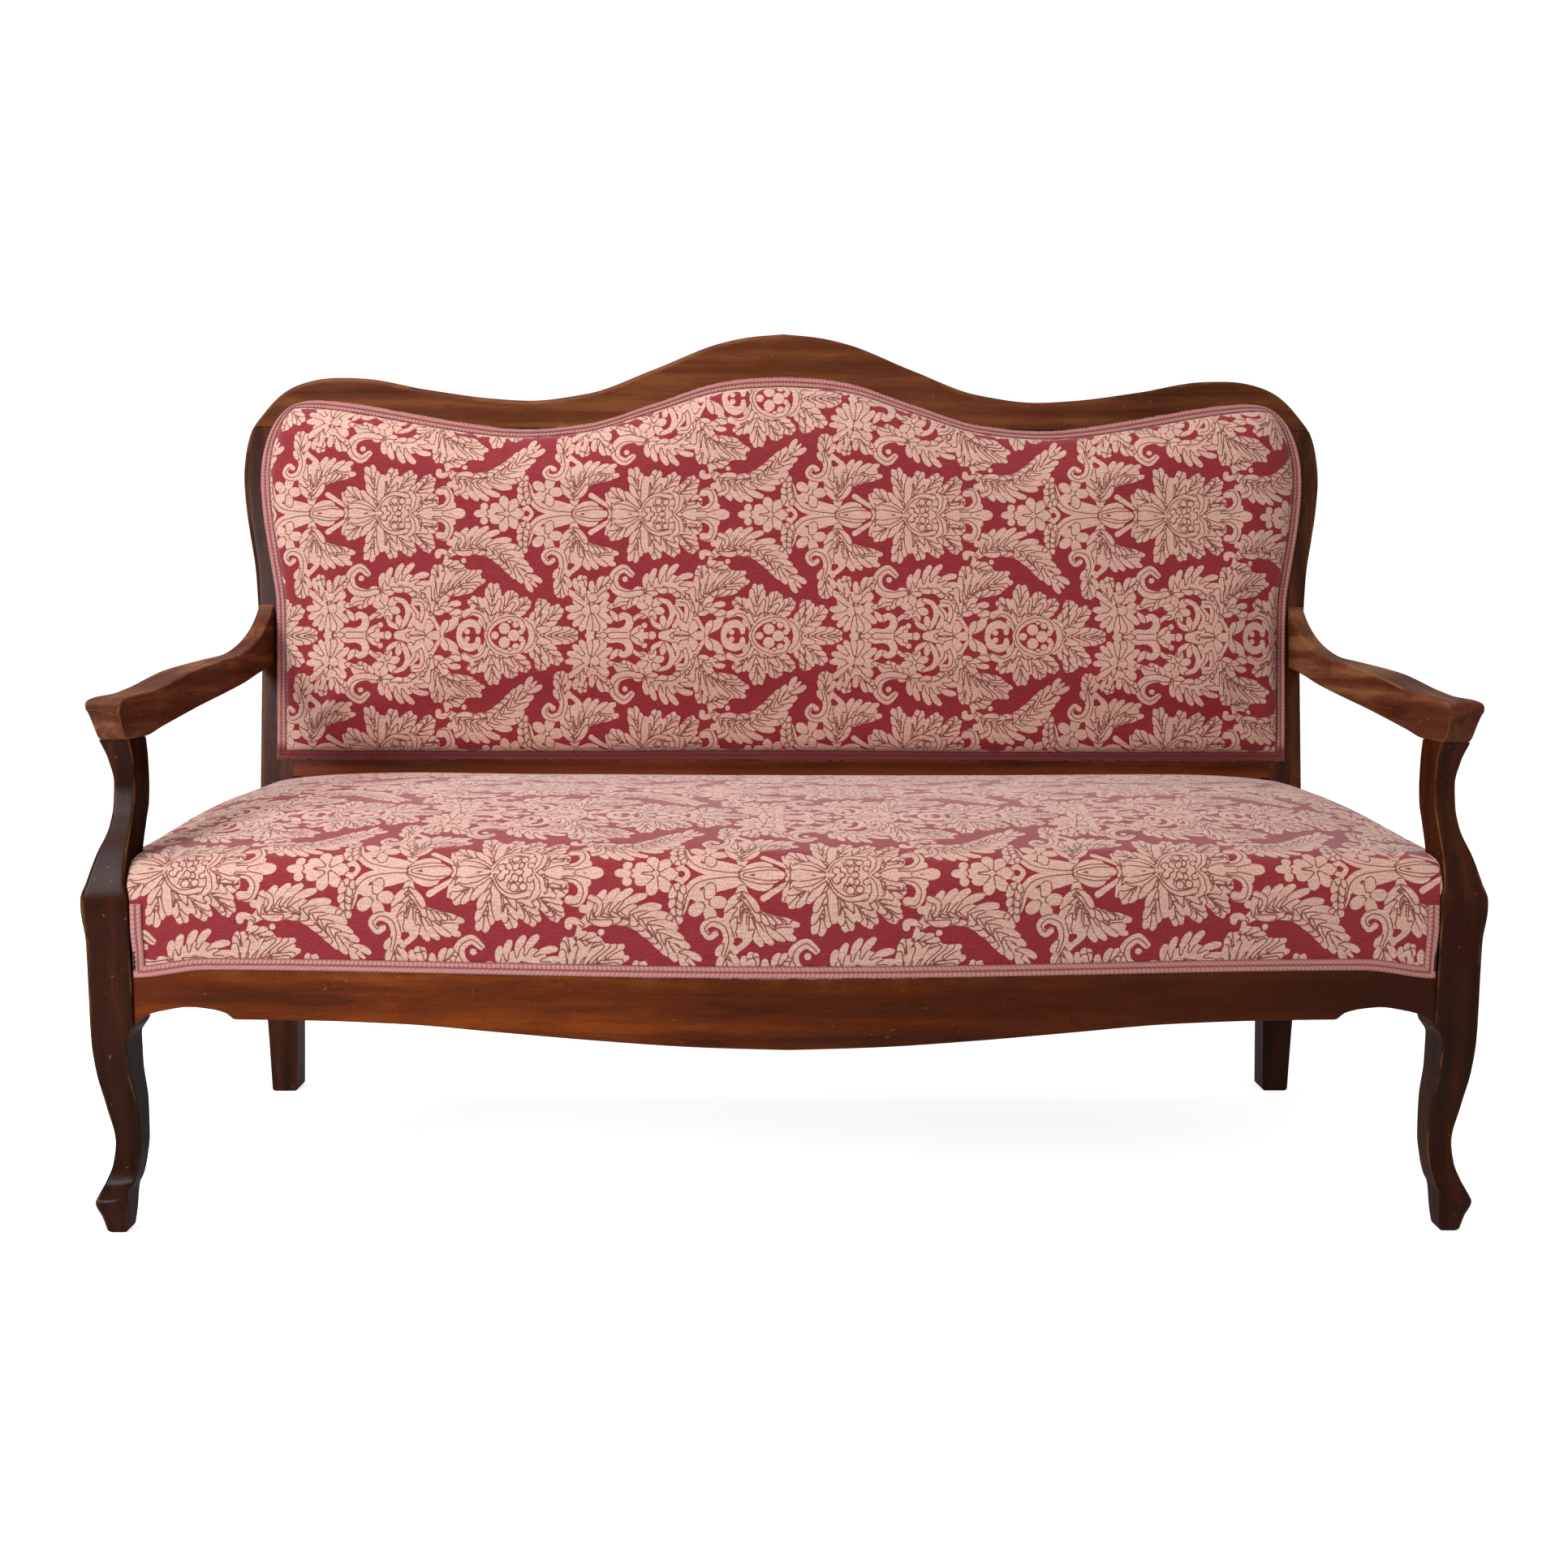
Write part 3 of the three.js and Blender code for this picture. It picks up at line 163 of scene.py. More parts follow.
crestTopShares = [[0, 0], [.06, .03], [.12, .1], [.245, .375], [.37, .63], [.48, .706], [.55, .685], [.675, .594],
                  [.8, .479], [.85, .476], [.92, .56], [.96, .72], [.985, .9], [1, .985]]
panelTopShares = [[0, .46], [.06, .475], [.12, .52], [.245, .745], [.37, .955], [.49, 1.02], [.55, .99],
                  [.675, .88], [.8, .755], [.86, .72], [.925, .685], [1, .66]]


def dropCurve(shares):
    # Height over the crest's reach: the back's height less a share of the crest's drop
    return track([[x * crestReach, d.backHeight - drop * d.crestDrop] for x, drop in shares])


crestTop, panelTop = dropCurve(crestTopShares), dropCurve(panelTopShares)


shoulderSettings = {"soften": 13, "fade": 34, "from": 0.72, "down": 850, "points": 500, "stilePoints": 401}


def arcOf(line):
    # Length along a line at each of its points: the running sum of the distances between neighbours
    return np.append(0, np.cumsum(np.linalg.norm(np.diff(line, axis=0), axis=1)))


def softened(line, s):
    # Mean along the line, with weights e to the minus half square of distance over soften, less the line itself;
    # this difference fades out towards both ends
    arc = arcOf(line)
    weights = np.exp(-((arc[:, None] - arc[None]) / s["soften"]) ** 2 / 2) * np.gradient(arc)[None]
    weights /= weights.sum(1, keepdims=True)
    fade = smooth(arc, 0, s["fade"]) * smooth(arc[-1] - arc, 0, s["fade"])
    return (weights @ line - line) * fade[:, None]


def roundShoulder(s):
    # Outline over one shoulder, crest first and stile after it, and how far softening moves each of its points
    x = np.linspace(s["from"], 1, s["points"]) * crestReach
    z = np.linspace(d.backJoint, s["down"], s["stilePoints"])[1:]
    line = np.concatenate([np.stack([x, np.maximum(crestTop(x), d.backJoint)], 1),
                           np.stack([d.half - stileOuter(z), z], 1)])
    return line, softened(line, s)


shoulderLine, shoulderShift = roundShoulder(shoulderSettings)
overEnd = shoulderSettings["points"]


def crestEdge(x):
    # Outer edge of the crest with its rounded shoulder, as x and z, for x from zero to the reach
    shift = [np.interp(x, shoulderLine[:overEnd, 0], column[:overEnd], left=0) for column in shoulderShift.T]
    return x + shift[0], crestTop(x) + shift[1]


def stileEdge(z):
    # Outer edge of the stile with the same shoulder, as x for z
    shift = np.interp(z, shoulderLine[:overEnd - 1:-1, 1], shoulderShift[:overEnd - 1:-1, 0], left=0)
    return d.half - stileOuter(z) + shift


def frontAt(x):
    # The apron's face: the setback less half the bow times one plus the cosine
    t = np.minimum(np.abs(x) / (d.bowReach * d.half), 1)
    return d.setback - d.bow * (1 + np.cos(math.pi * t)) / 2


def sideAt(y):
    # Half width of the seat, which narrows evenly from the posts to the rear
    return d.half - mix(d.sideFront, d.sideRear, (y - postRearY) / (d.seatDepth - postRearY))


print("drawing ready")


# Meshes
def makePiece(name, points, faces, marks=None, coordinates=None, sharpFrom=50):
    # Drawing millimetres become packed metres; faces is a list of integer tables, one for each number of corners
    spots = np.asarray(points, float).reshape(-1, 3) / 1000 + (0, kneeLine, 0)
    corners = np.concatenate([np.asarray(f).ravel() for f in faces]).astype(np.int32)
    sizes = np.concatenate([np.full(len(f), np.asarray(f).shape[1]) for f in faces])
    mesh = bpy.data.meshes.new(name)
    mesh.vertices.add(len(spots))
    mesh.vertices.foreach_set("co", spots.astype(np.float32).ravel())
    mesh.loops.add(len(corners))
    mesh.loops.foreach_set("vertex_index", corners)
    mesh.polygons.add(len(sizes))
    mesh.polygons.foreach_set("loop_start", (np.cumsum(sizes) - sizes).astype(np.int32))
    mesh.update(calc_edges=True)
    mesh.validate()
    mesh.polygons.foreach_set("use_smooth", np.ones(len(mesh.polygons), bool))
    mesh.set_sharp_from_angle(angle=math.radians(sharpFrom))
    for label, values in (marks or {}).items():
        single = np.size(values) == len(spots)
        mark = mesh.attributes.new(label, "FLOAT" if single else "FLOAT_VECTOR", "POINT")
        mark.data.foreach_set("value" if single else "vector", np.asarray(values, np.float32).ravel())
    if coordinates is not None:
        layer = mesh.uv_layers.new(name="lay")
        used = np.zeros(len(mesh.loops), np.int32)
        mesh.loops.foreach_get("vertex_index", used)
        layer.data.foreach_set("uv", np.asarray(coordinates, np.float32).reshape(-1, 2)[used].ravel())
    piece = bpy.data.objects.new(name, mesh)
    scene.collection.objects.link(piece)
    return piece


def outward(points, faces):
    # Volume as the sum of a·(b×c) over all faces; a negative one turns every face round
    p = np.asarray(points, float).reshape(-1, 3)
    p = p - p.mean(0)
    total = 0
    for table in faces:
        for k in range(1, table.shape[1] - 1):
            a, b, c = p[table[:, 0]], p[table[:, k]], p[table[:, k + 1]]
            total += np.einsum("ij,ij->", a, np.cross(b, c))
    return faces if total > 0 else [table[:, ::-1] for table in faces]


def gridFaces(rows, columns, closed=False, first=0):
    # Quads between neighbouring points of a grid; closed joins its last column to its first
    r, c = np.meshgrid(np.arange(rows - 1), np.arange(columns - (0 if closed else 1)), indexing="ij")
    right = (c + 1) % columns
    quads = np.stack([r * columns + c, r * columns + right, (r + 1) * columns + right, (r + 1) * columns + c], -1)
    return quads.reshape(-1, 4) + first


def loftPiece(name, rings, marks):
    # Body through rings of equal count, with a flat lid over each end
    rows, columns = rings.shape[:2]
    lids = [np.arange(columns)[None, ::-1], np.arange(columns)[None] + (rows - 1) * columns]
    faces = outward(rings, [gridFaces(rows, columns, True)] + lids)
    return makePiece(name, rings, faces, {"arris": np.broadcast_to(marks, (rows, columns))})


def dress(piece, finish, slot, node=None):
    # Finish, body and, where one is named, the solid that the piece stands for; slot is not used
    piece.data.materials.append(finish)
    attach(piece, "root")
    if node:
        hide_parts(node)
    return piece


def bothSides(name, rings, marks, finish):
    # The right piece as computed and the left one with x negated
    for side, sign in (("right", 1), ("left", -1)):
        dress(loftPiece(f"{name}_{side}_wood", rings * (sign, 1, 1), marks), finish, "show_wood", f"{name}_{side}")


def roundedSection(x0, x1, y0, y1, radii, corner=6):
    # Rectangle whose corners are quarter circles: corner centre plus radius times (cos, sin); sides add points
    turn = np.linspace(0, math.pi / 2, corner)
    spots, marks = [], []
    for k, (sx, sy) in enumerate([(-1, -1), (1, -1), (1, 1), (-1, 1)]):
        r = radii[:, k:k + 1]
        angle = (2 + k) * math.pi / 2 + turn
        cx = (x0 if sx < 0 else x1)[:, None] - sx * r
        cy = (y0 if sy < 0 else y1)[:, None] - sy * r
        spots.append(np.stack([cx + r * np.cos(angle), cy + r * np.sin(angle)], -1))
        marks.append(np.sin(2 * turn))
    outline, weights = [], []
    for k in range(4):
        start, end = spots[k][:, -1:], spots[(k + 1) % 4][:, :1]
        shares = np.array([.08, .3, .7, .92])[None, :, None]
        outline += [spots[k], mix(start, end, shares)]
        weights += [marks[k], np.zeros(4)]
    return np.concatenate(outline, 1), np.concatenate(weights)


# Colours are given as a screen shows them, 0 to 255
def colour(r, g, b):
    def linear(v):
        # Screen value to light: a straight foot, then the power 2.4
        v /= 255
        return v / 12.92 if v <= .04045 else ((v + .055) / 1.055) ** 2.4
    return (linear(r), linear(g), linear(b), 1)


def addNode(tree, kind, inputs=None, **settings):
    # Node with its settings; each input is linked to a socket or set to a value
    node = tree.nodes.new(kind)
    for key, value in settings.items():
        setattr(node, key, value)
    for key, value in (inputs or {}).items():
        if isinstance(value, bpy.types.NodeSocket):
            tree.links.new(value, node.inputs[key])
        else:
            node.inputs[key].default_value = value
    return node


def maths(tree, operation, *values):
    # One math node over its values, in their order
    return addNode(tree, "ShaderNodeMath", dict(enumerate(values)), operation=operation).outputs[0]


def mathsFor(operation):
    # Maker of math nodes of one operation
    return lambda tree, *values: maths(tree, operation, *values)


plus, minus, times = mathsFor("ADD"), mathsFor("SUBTRACT"), mathsFor("MULTIPLY")
larger, smaller = mathsFor("MAXIMUM"), mathsFor("MINIMUM")


def noise(tree, lay, scale, detail, **more):
    # Noise texture over lay, as one value
    return addNode(tree, "ShaderNodeTexNoise", {"Vector": lay, "Scale": scale, "Detail": detail, **more}).outputs[0]


def objectSpot(tree):
    # Coordinates in the object's own frame
    return addNode(tree, "ShaderNodeTexCoord").outputs["Object"]


def setNormal(tree, shader, height, distance, strength=.5):
    # Bump of the given depth in metres, from a height into the shader's normal
    bump = addNode(tree, "ShaderNodeBump", {"Strength": strength, "Distance": distance, "Height": height})
    tree.links.new(bump.outputs[0], shader.inputs["Normal"])


def seenDirectly(tree):
    # The largest of three: one for rays from the camera and for glossy and transmitted ones, else zero
    path = addNode(tree, "ShaderNodeLightPath").outputs
    return larger(tree, path["Is Camera Ray"], larger(tree, path["Is Glossy Ray"], path["Is Transmission Ray"]))


def blendColours(tree, share, one, other, kind="MIX"):
    # Colour one where share is zero, other where it is one
    node = addNode(tree, "ShaderNodeMix", {0: share, 6: one, 7: other}, data_type="RGBA", blend_type=kind)
    return node.outputs[2]


def ramp(tree, value, low, high):
    # Smooth step from 0 at low to 1 at high
    return addNode(tree, "ShaderNodeMapRange", {0: value, 1: low, 2: high}, interpolation_type="SMOOTHSTEP").outputs[0]


def makeGroup(name, inputs, outputs):
    # Node group with inputs as name, kind and default, and outputs as name and kind
    tree = bpy.data.node_groups.new(name, "ShaderNodeTree")
    for label, kind, value in inputs:
        socket = tree.interface.new_socket(label, in_out="INPUT", socket_type="NodeSocket" + kind)
        if value is not None:
            socket.default_value = value
    for label, kind in outputs:
        tree.interface.new_socket(label, in_out="OUTPUT", socket_type="NodeSocket" + kind)
    return tree, tree.nodes.new("NodeGroupInput").outputs, tree.nodes.new("NodeGroupOutput")


def makeMaterial(name, **sockets):
    # Material whose shader sockets take the values given, with underscores for spaces
    material = bpy.data.materials.new(name)
    material.use_nodes = True
    shader = material.node_tree.nodes["Principled BSDF"]
    for key, value in sockets.items():
        shader.inputs[key.replace("_", " ")].default_value = value
    return material, material.node_tree, shader


# Aged walnut: fibres, figure, pores, stain blotches and worn arrises
woodDark, woodBump = colour(24, 8, 2), .0006


def woodGroup():
    # Tone is fibre, figure and drift in fixed shares; pores darken it, and worn arrises and nicks lighten it
    tree, given, out = makeGroup("agedWood", [
        ("Along", "Vector", None), ("Dark", "Color", woodDark), ("Middle", "Color", colour(47, 18, 5)),
        ("Light", "Color", colour(68, 30, 11)), ("Worn", "Color", colour(146, 96, 58)), ("Wear", "Float", .5),
        ("Gloss", "Float", .42),
    ], [("Color", "Color"), ("Roughness", "Float"), ("Height", "Float")])
    stretched = addNode(tree, "ShaderNodeMapping", {0: given["Along"], 3: (1, 14, 14)}).outputs[0]
    drift = noise(tree, given["Along"], 3.2, 3)
    fibre = noise(tree, stretched, 5.5, 8, Roughness=.62, Distortion=.6)
    figure = addNode(tree, "ShaderNodeTexWave", {"Vector": stretched, "Scale": .62, "Distortion": 7.5, "Detail": 3,
                                                  "Detail Scale": 1.1}, bands_direction="Z").outputs[1]
    poreLay = addNode(tree, "ShaderNodeMapping", {0: given["Along"], 3: (1, 22, 22)}).outputs[0]
    pores = noise(tree, poreLay, 55, 2)
    pore = ramp(tree, pores, .56, .7)
    tone = plus(tree, times(tree, fibre, .5), times(tree, figure, .13))
    tone = ramp(tree, plus(tree, tone, times(tree, drift, .6)), .3, .92)
    low = blendColours(tree, ramp(tree, tone, 0, .55), given["Dark"], given["Middle"])
    wood = blendColours(tree, ramp(tree, tone, .5, 1), low, given["Light"])
    wood = blendColours(tree, times(tree, pore, .4), wood, given["Dark"])
    arris = addNode(tree, "ShaderNodeAttribute", attribute_name="arris").outputs["Fac"]
    rubbed = noise(tree, given["Along"], 21, 5)
    worn = times(tree, times(tree, arris, ramp(tree, rubbed, .42, .68)), given["Wear"])
    nicks = noise(tree, given["Along"], 150, 1)
    nick = times(tree, ramp(tree, nicks, .755, .775), given["Wear"])
    worn = larger(tree, worn, nick)
    wood = blendColours(tree, worn, wood, given["Worn"])
    rough = plus(tree, given["Gloss"], times(tree, fibre, .16))
    rough = plus(tree, rough, times(tree, plus(tree, pore, worn), .14))
    height = minus(tree, times(tree, fibre, .35), times(tree, pore, .5))
    for label, value in (("Color", wood), ("Roughness", rough), ("Height", height)):
        tree.links.new(value, out.inputs[label])
    return tree


agedWood = woodGroup()


def woodMaterial(name, turn, shift, wear, tones=(), gloss=.42, paintedShadeRight=0):
    # The grain runs along X of the turned object coordinates; towards the right the wood is darkened by painted shade,
    # where less light falls. Tones are the wood's dark, middle and light colour.
    material, tree, shader = makeMaterial(name, Specular_IOR_Level=0, Coat_Weight=.1, Coat_Roughness=.24)
    spot = objectSpot(tree)
    along = addNode(tree, "ShaderNodeMapping", {0: spot, 1: shift, 2: turn}).outputs[0]
    shades = {label: colour(*tone) for label, tone in zip(("Dark", "Middle", "Light"), tones)}
    wood = addNode(tree, "ShaderNodeGroup", {"Along": along, "Wear": wear, "Gloss": gloss, **shades},
                   node_tree=agedWood)
    right = addNode(tree, "ShaderNodeSeparateXYZ", {0: spot}).outputs[0]
    # Painted shade: darker towards the right, standing in for the light that falls off from the left
    dark = times(tree, ramp(tree, right, -.45, .85), paintedShadeRight)
    shade = blendColours(tree, dark, wood.outputs["Color"], shades.get("Dark", woodDark))
    tree.links.new(shade, shader.inputs["Base Color"])
    tree.links.new(wood.outputs["Roughness"], shader.inputs["Roughness"])
    setNormal(tree, shader, wood.outputs["Height"], woodBump)
    return material


upright, deep, level = (0, math.radians(90), 0), (0, 0, math.radians(90)), (0, 0, 0)
postWood = woodMaterial("postWalnut", upright, (.3, 0, .1), .4)
stileWood = woodMaterial("stileWalnut", upright, (0, .4, .2), .4, ((34, 14, 5), (57, 26, 12), (86, 46, 25)))
armWood = woodMaterial("armWalnut", deep, (.1, .7, .3), .7, ((50, 22, 12), (90, 47, 29), (132, 84, 56)))
crestWood = woodMaterial("crestWalnut", level, (0, .2, .5), .35, ((62, 29, 14), (90, 46, 25), (116, 66, 38)))
# The apron carries painted shade that deepens towards its right
apronWood = woodMaterial("apronWalnut", level, (.5, 0, .8), .4, ((44, 15, 3), (90, 36, 8), (122, 56, 14)), paintedShadeRight=.9)
lowerWood = woodMaterial("lowerRailWalnut", level, (.9, .1, .4), .2, ((58, 22, 10), (103, 44, 21), (130, 62, 33)))
frameWood = woodMaterial("frameBeech", level, (.2, .2, .2), .2, ((128, 92, 58), (170, 128, 84), (200, 162, 116)),
                         gloss=.5)

# Front posts: cabriole leg, joint block and arm support. Four tracks give the faces at each height.
postSettings = {"rings": 190, "outerFront": [[0, 5], [32, 6], [46, 4], [70, 3], [150, 3.5], [250, 4], [380, 9],
                                             [430, 4], [583, 2.5]], "arris": 2.4, "sole": 4.5,
                "toe": (38, 14, 5, 9)}  # height of the toe's edge, its reach up and down, its sag and its rise inwards


def soleInset(z, radius):
    # Quarter circle at the foot: radius less the root of radius squared less the missing height squared
    return radius - np.sqrt(radius ** 2 - np.clip(radius - z, 0, radius) ** 2)


def heightsFrom(sole, top, rings):
    # Five steps up the rounded sole, then even ones to the top
    return np.concatenate([np.linspace(0, sole, 6)[:-1], np.linspace(sole, top, rings)])


def makePosts(s):
    z = heightsFrom(s["sole"], d.armJoint, s["rings"])
    soft = track(s["outerFront"])(z)
    plain = np.full_like(z, s["arris"])
    inset = soleInset(z, s["sole"])
    x0, x1 = d.half - postInner(z) + inset, d.half - postOuter(z) - inset
    outline, marks = roundedSection(x0, x1, postFront(z) + inset, postRear(z) - inset,
                                    np.stack([plain, soft, plain, plain], 1))
    # The toe's edge sags by the cosine across the foot and rises evenly towards its inner side
    height, reach, sag, rise = s["toe"]
    across = (outline[..., 0] - (x0 + x1)[:, None] / 2) / (x1 - x0)[:, None] * 2
    near = np.exp(-((z - height) / reach) ** 2) * smooth(z, 0, 2 * s["sole"])
    drop = near[:, None] * (sag * np.cos(across * math.pi / 2) - rise * (1 - across) / 2)
    rings = np.concatenate([outline, (z[:, None] - drop)[..., None]], -1)
    bothSides("front_post", rings, marks, postWood)


makePosts(postSettings)
print("front posts made")


def frameRings(outer, inward, inner, front, rear, rake=0):
    # Section of the back frame: inwards from its outline the front face rises as a quarter circle of radius front
    # and the rear one as one of radius rear, both faces run straight to inner, and rake moves it all backwards
    def spot(place, depth):
        return np.stack([place[:, 0], depth, place[:, 1]], -1)

    def faceY(place):
        return backFace(place[:, 1]) + rake

    def backY(place):
        return rearFace(place[:, 1]) + rake
    spots, marks = [], []
    for a in np.linspace(0, math.pi / 2, 8):
        place = outer + inward * (front * (1 - np.sin(a)))[:, None]
        spots.append(spot(place, faceY(place) + front * (1 - np.cos(a))))
        marks.append(np.sin(2 * a) ** 2)
    spots.append(spot(outer, mix(faceY(outer) + front, backY(outer) - rear, .5)))
    marks.append(0)
    for a in np.linspace(0, math.pi / 2, 4):
        place = outer + inward * (rear * (1 - np.cos(a)))[:, None]
        spots.append(spot(place, backY(place) - rear * (1 - np.sin(a))))
        marks.append(np.sin(2 * a) ** 2)
    back, face = outer + inward * rear[:, None], outer + inward * front[:, None]
    for share in (.4, 1):
        place = mix(back, inner, share)
        spots.append(spot(place, backY(place)))
    spots.append(spot(inner, mix(faceY(inner), backY(inner), .5)))
    for share in (1, .75, .5, .25, .08):
        place = mix(face, inner, share)
        spots.append(spot(place, faceY(place)))
    marks += [0] * 8
    return np.stack(spots, 1), np.array(marks)


# Stiles: rear leg and back post in one
stileSettings = {"rings": 200, "sole": 4, "frontRound": [[0, 2.5], [660, 2.5], [800, 8], [1000, 9]],
                 "rearRound": [[0, 2.5], [700, 2.5], [1000, 4]]}


def makeStiles(s):
    # Rings up the stile, between its outer edge and its inner face
    z = heightsFrom(s["sole"], d.backJoint, s["rings"])
    inset = soleInset(z, s["sole"])
    outer = np.stack([stileEdge(z) - inset, z], 1)
    inner = np.stack([d.half - stileInner(z) + inset, z], 1)
    inward = np.tile([-1.0, 0], (len(z), 1))
    rings, marks = frameRings(outer, inward, inner, track(s["frontRound"])(z), track(s["rearRound"])(z),
                              stileRake(z))
    bothSides("back_stile", rings, marks, stileWood)


makeStiles(stileSettings)

# Crest rail: its outline turns over both shoulders down to the stiles
crestSettings = {"stations": 360, "frontRound": 9, "rearRound": 4, "jointShare": .8, "footInner": 706, "crowding": 1.6}


def makeCrest(s):
    # Rings along the crest, crowded at its ends; past the joint share the section turns level into the stiles
    even = np.linspace(-1, 1, s["stations"] + 1)
    x = np.sign(even) * (1 - (1 - np.abs(even)) ** s["crowding"]) * crestReach
    edge, top = crestEdge(np.abs(x))
    normal = np.stack([-np.gradient(top), np.gradient(edge * np.sign(x))], 1)
    normal /= np.linalg.norm(normal, axis=1)[:, None]
    size = np.abs(x) / crestReach
    free = panelTop(np.abs(x)) - d.crestOverlap
    low = np.where(size > s["jointShare"], d.backJoint, np.minimum(free, mix(free, d.backJoint, size))) + d.fit
    past = np.clip((size - s["jointShare"]) / (1 - s["jointShare"]), 0, 1)
    innerX = np.where(past > 0, mix(s["jointShare"] * crestReach, s["footInner"], past), np.abs(x)) * np.sign(x)
    level = smooth(past, .85, 1)[:, None]
    inward = mix(-normal, np.stack([-np.sign(x), np.zeros_like(x)], 1), level)
    inward /= np.linalg.norm(inward, axis=1)[:, None]
    outer = np.stack([edge * np.sign(x), np.maximum(top, d.backJoint + d.fit)], 1)
    rings, marks = frameRings(outer, inward, np.stack([innerX, low], 1), np.full_like(x, s["frontRound"]),
                              np.full_like(x, s["rearRound"]))
    rings[..., 2] = np.maximum(rings[..., 2], d.backJoint + d.fit)
    dress(loftPiece("crest_rail_wood", rings, marks), crestWood, "show_wood", "crest_rail")


makeCrest(crestSettings)
print("back frame made")

# Armrests: twelve stretches between stations of the lower and upper edge and the two faces
armSettings = {"rings": 200, "arris": 2.6, "inner": 1.8, "flare": [[0, 15], [24, 13], [46, 8], [96, 0]],
               "nose": [[0, 10], [16, 7], [50, 2.6]]}
armShares = [
    [.02, .6, .02, .74, .9, .25], [.026, .4, .026, .86, .905, .2], [.037, .14, .037, .95, .915, .19],
    [.055, 0, .064, 1, .925, .23], [.157, 0, .15, 1.05, .93, .36], [.252, .16, .236, 1.13, .97, .33],
    [.454, .47, .434, 1.43, 1.02, .33], [.675, .745, .654, 1.65, 1.04, .52], [.82, .94, .786, 1.755, 1.05, .62],
    [.93, 1.14, .88, 1.96, 1.06, .66],
]
armRearShares = [[1.009, 1.265, .97, 2.33, 1.382, .904], [1.036, 1.3, 1.032, 2.73, 1.389, .93]]


def makeArms(s):
    def row(shares, width):
        return [shares[0] * d.seatDepth, d.armJoint + shares[1] * d.armRise, shares[2] * d.seatDepth,
                d.armJoint + shares[3] * d.armRise, shares[4] * width, shares[5] * width]
    rows = [row(r, d.post) for r in armShares] + [row(r, d.stileWidth) for r in armRearShares]
    rows.append([float(backFace(armEndLow)), armEndLow, float(backFace(armEndTop)), armEndTop,
                 1.395 * d.stileWidth, .944 * d.stileWidth])
    at = np.linspace(0, len(rows) - 1, s["rings"])
    lowY, lowZ, topY, topZ, inner, outer = through(rows, at)
    tall = np.hypot(topY - lowY, topZ - lowZ)
    soft = np.minimum(s["arris"], tall / 3)
    nose = np.minimum(track(s["nose"])(topY), tall / 3)
    tight = np.minimum(s["inner"], tall / 3)
    outline, marks = roundedSection(d.half - inner, d.half - outer, np.zeros_like(tall), tall,
                                    np.stack([tight, tight, nose, soft], 1))
    share = outline[..., 1] / tall[:, None]
    # Towards the joint the outer face draws in to the support's: by the flare times the missing height share
    across = (outline[..., 0] - (d.half - inner)[:, None]) / (inner - outer)[:, None]
    outline[..., 0] -= track(s["flare"])(lowY)[:, None] * (1 - share) * across
    y = mix(lowY[:, None], topY[:, None], share) - d.fit
    z = mix(lowZ[:, None], topZ[:, None], share) + d.fit
    rings = np.stack([outline[..., 0], y, z], -1)
    bothSides("armrest", rings, marks, armWood)


makeArms(armSettings)
print("armrests made")

# Seat rails: one section carried along the seat's outline, with its lower edge cut to small arches
railSettings = {"stations": 520, "round": 2.2}
frontLowShares = [[0, -.81], [.138, -.69], [.288, -.43], [.438, -.11], [.587, .2], [.737, .29], [.846, .3],
                  [.861, .67], [.886, .9], [.917, 1], [.954, .81], [.979, .57], [1, 0]]
sideLowShares = [[0, 0], [.03, .6], [.09, 1], [.14, .67], [.165, .3], [.835, .3], [.86, .67], [.91, 1], [.97, .6],
                 [1, 0]]


def railRings(place, low, s):
    # Depth runs inwards from the outer face; the two lower arrises are quarter circles
    r, turn = s["round"], np.linspace(0, math.pi / 2, 5)
    ledge = d.coverEdge - d.fit
    section = [(0 * low, mix(low + r, ledge, share)) for share in (1, .75, .5, .25, .06)]
    marks = [.6, 0, 0, 0, 0]
    section += [(0 * low + r * (1 - math.cos(a)), low + r * (1 - math.sin(a))) for a in turn]
    section += [(0 * low + d.lip - r * (1 - math.cos(a)), low + r * (1 - math.sin(a))) for a in turn[::-1]]
    marks += list(np.sin(2 * turn)) * 2
    section += [(0 * low + depth, 0 * low + z) for depth, z in (
        (d.lip, d.webLedge), (d.railThickness, d.webLedge), (d.railThickness, d.railTop), (d.rebate, d.railTop),
        (d.rebate, ledge))]
    marks += [0] * 5
    return np.stack([place(depth, z) for depth, z in section], 1), np.array(marks)


def makeRails(s):
    # Front rail between the posts, side rails from the posts to the rear
    frontEnd = postInnerX - d.fit
    x = np.linspace(-frontEnd, frontEnd, s["stations"])
    low = track([[share * postInnerX, d.legHeight + rise * d.arch] for share, rise in frontLowShares])(np.abs(x))
    rings, marks = railRings(lambda depth, z: np.stack([x, frontAt(x) + depth, z], -1), low, s)
    dress(loftPiece("front_seat_rail_wood", rings, marks), apronWood, "show_wood", "front_seat_rail")
    y = np.linspace(postRearY + d.fit, d.seatDepth - d.fit, s["stations"] // 3)
    low = track([[mix(postRearY, d.seatDepth, share), d.legHeight + rise * d.arch]
                 for share, rise in sideLowShares])(y)
    rings, marks = railRings(lambda depth, z: np.stack([sideAt(y) - depth, y, z], -1), low, s)
    bothSides("side_seat_rail", rings, marks, apronWood)


makeRails(railSettings)
print("seat rails made")


# Damask: a half repeat is drawn on a fine grid with strokes, each a curve with a radius that changes along it.
# Depth inside a stroke is the radius less the distance to its curve. Each stroke lies in one of three layers and
# sinks the other two by as much, so two layers are both near zero along every line between neighbouring strokes.
# Millimetres; the half repeat is mirrored.
damask = {"across": 391, "rise": 181.4, "cell": .55, "far": 6, "full": 1.13}


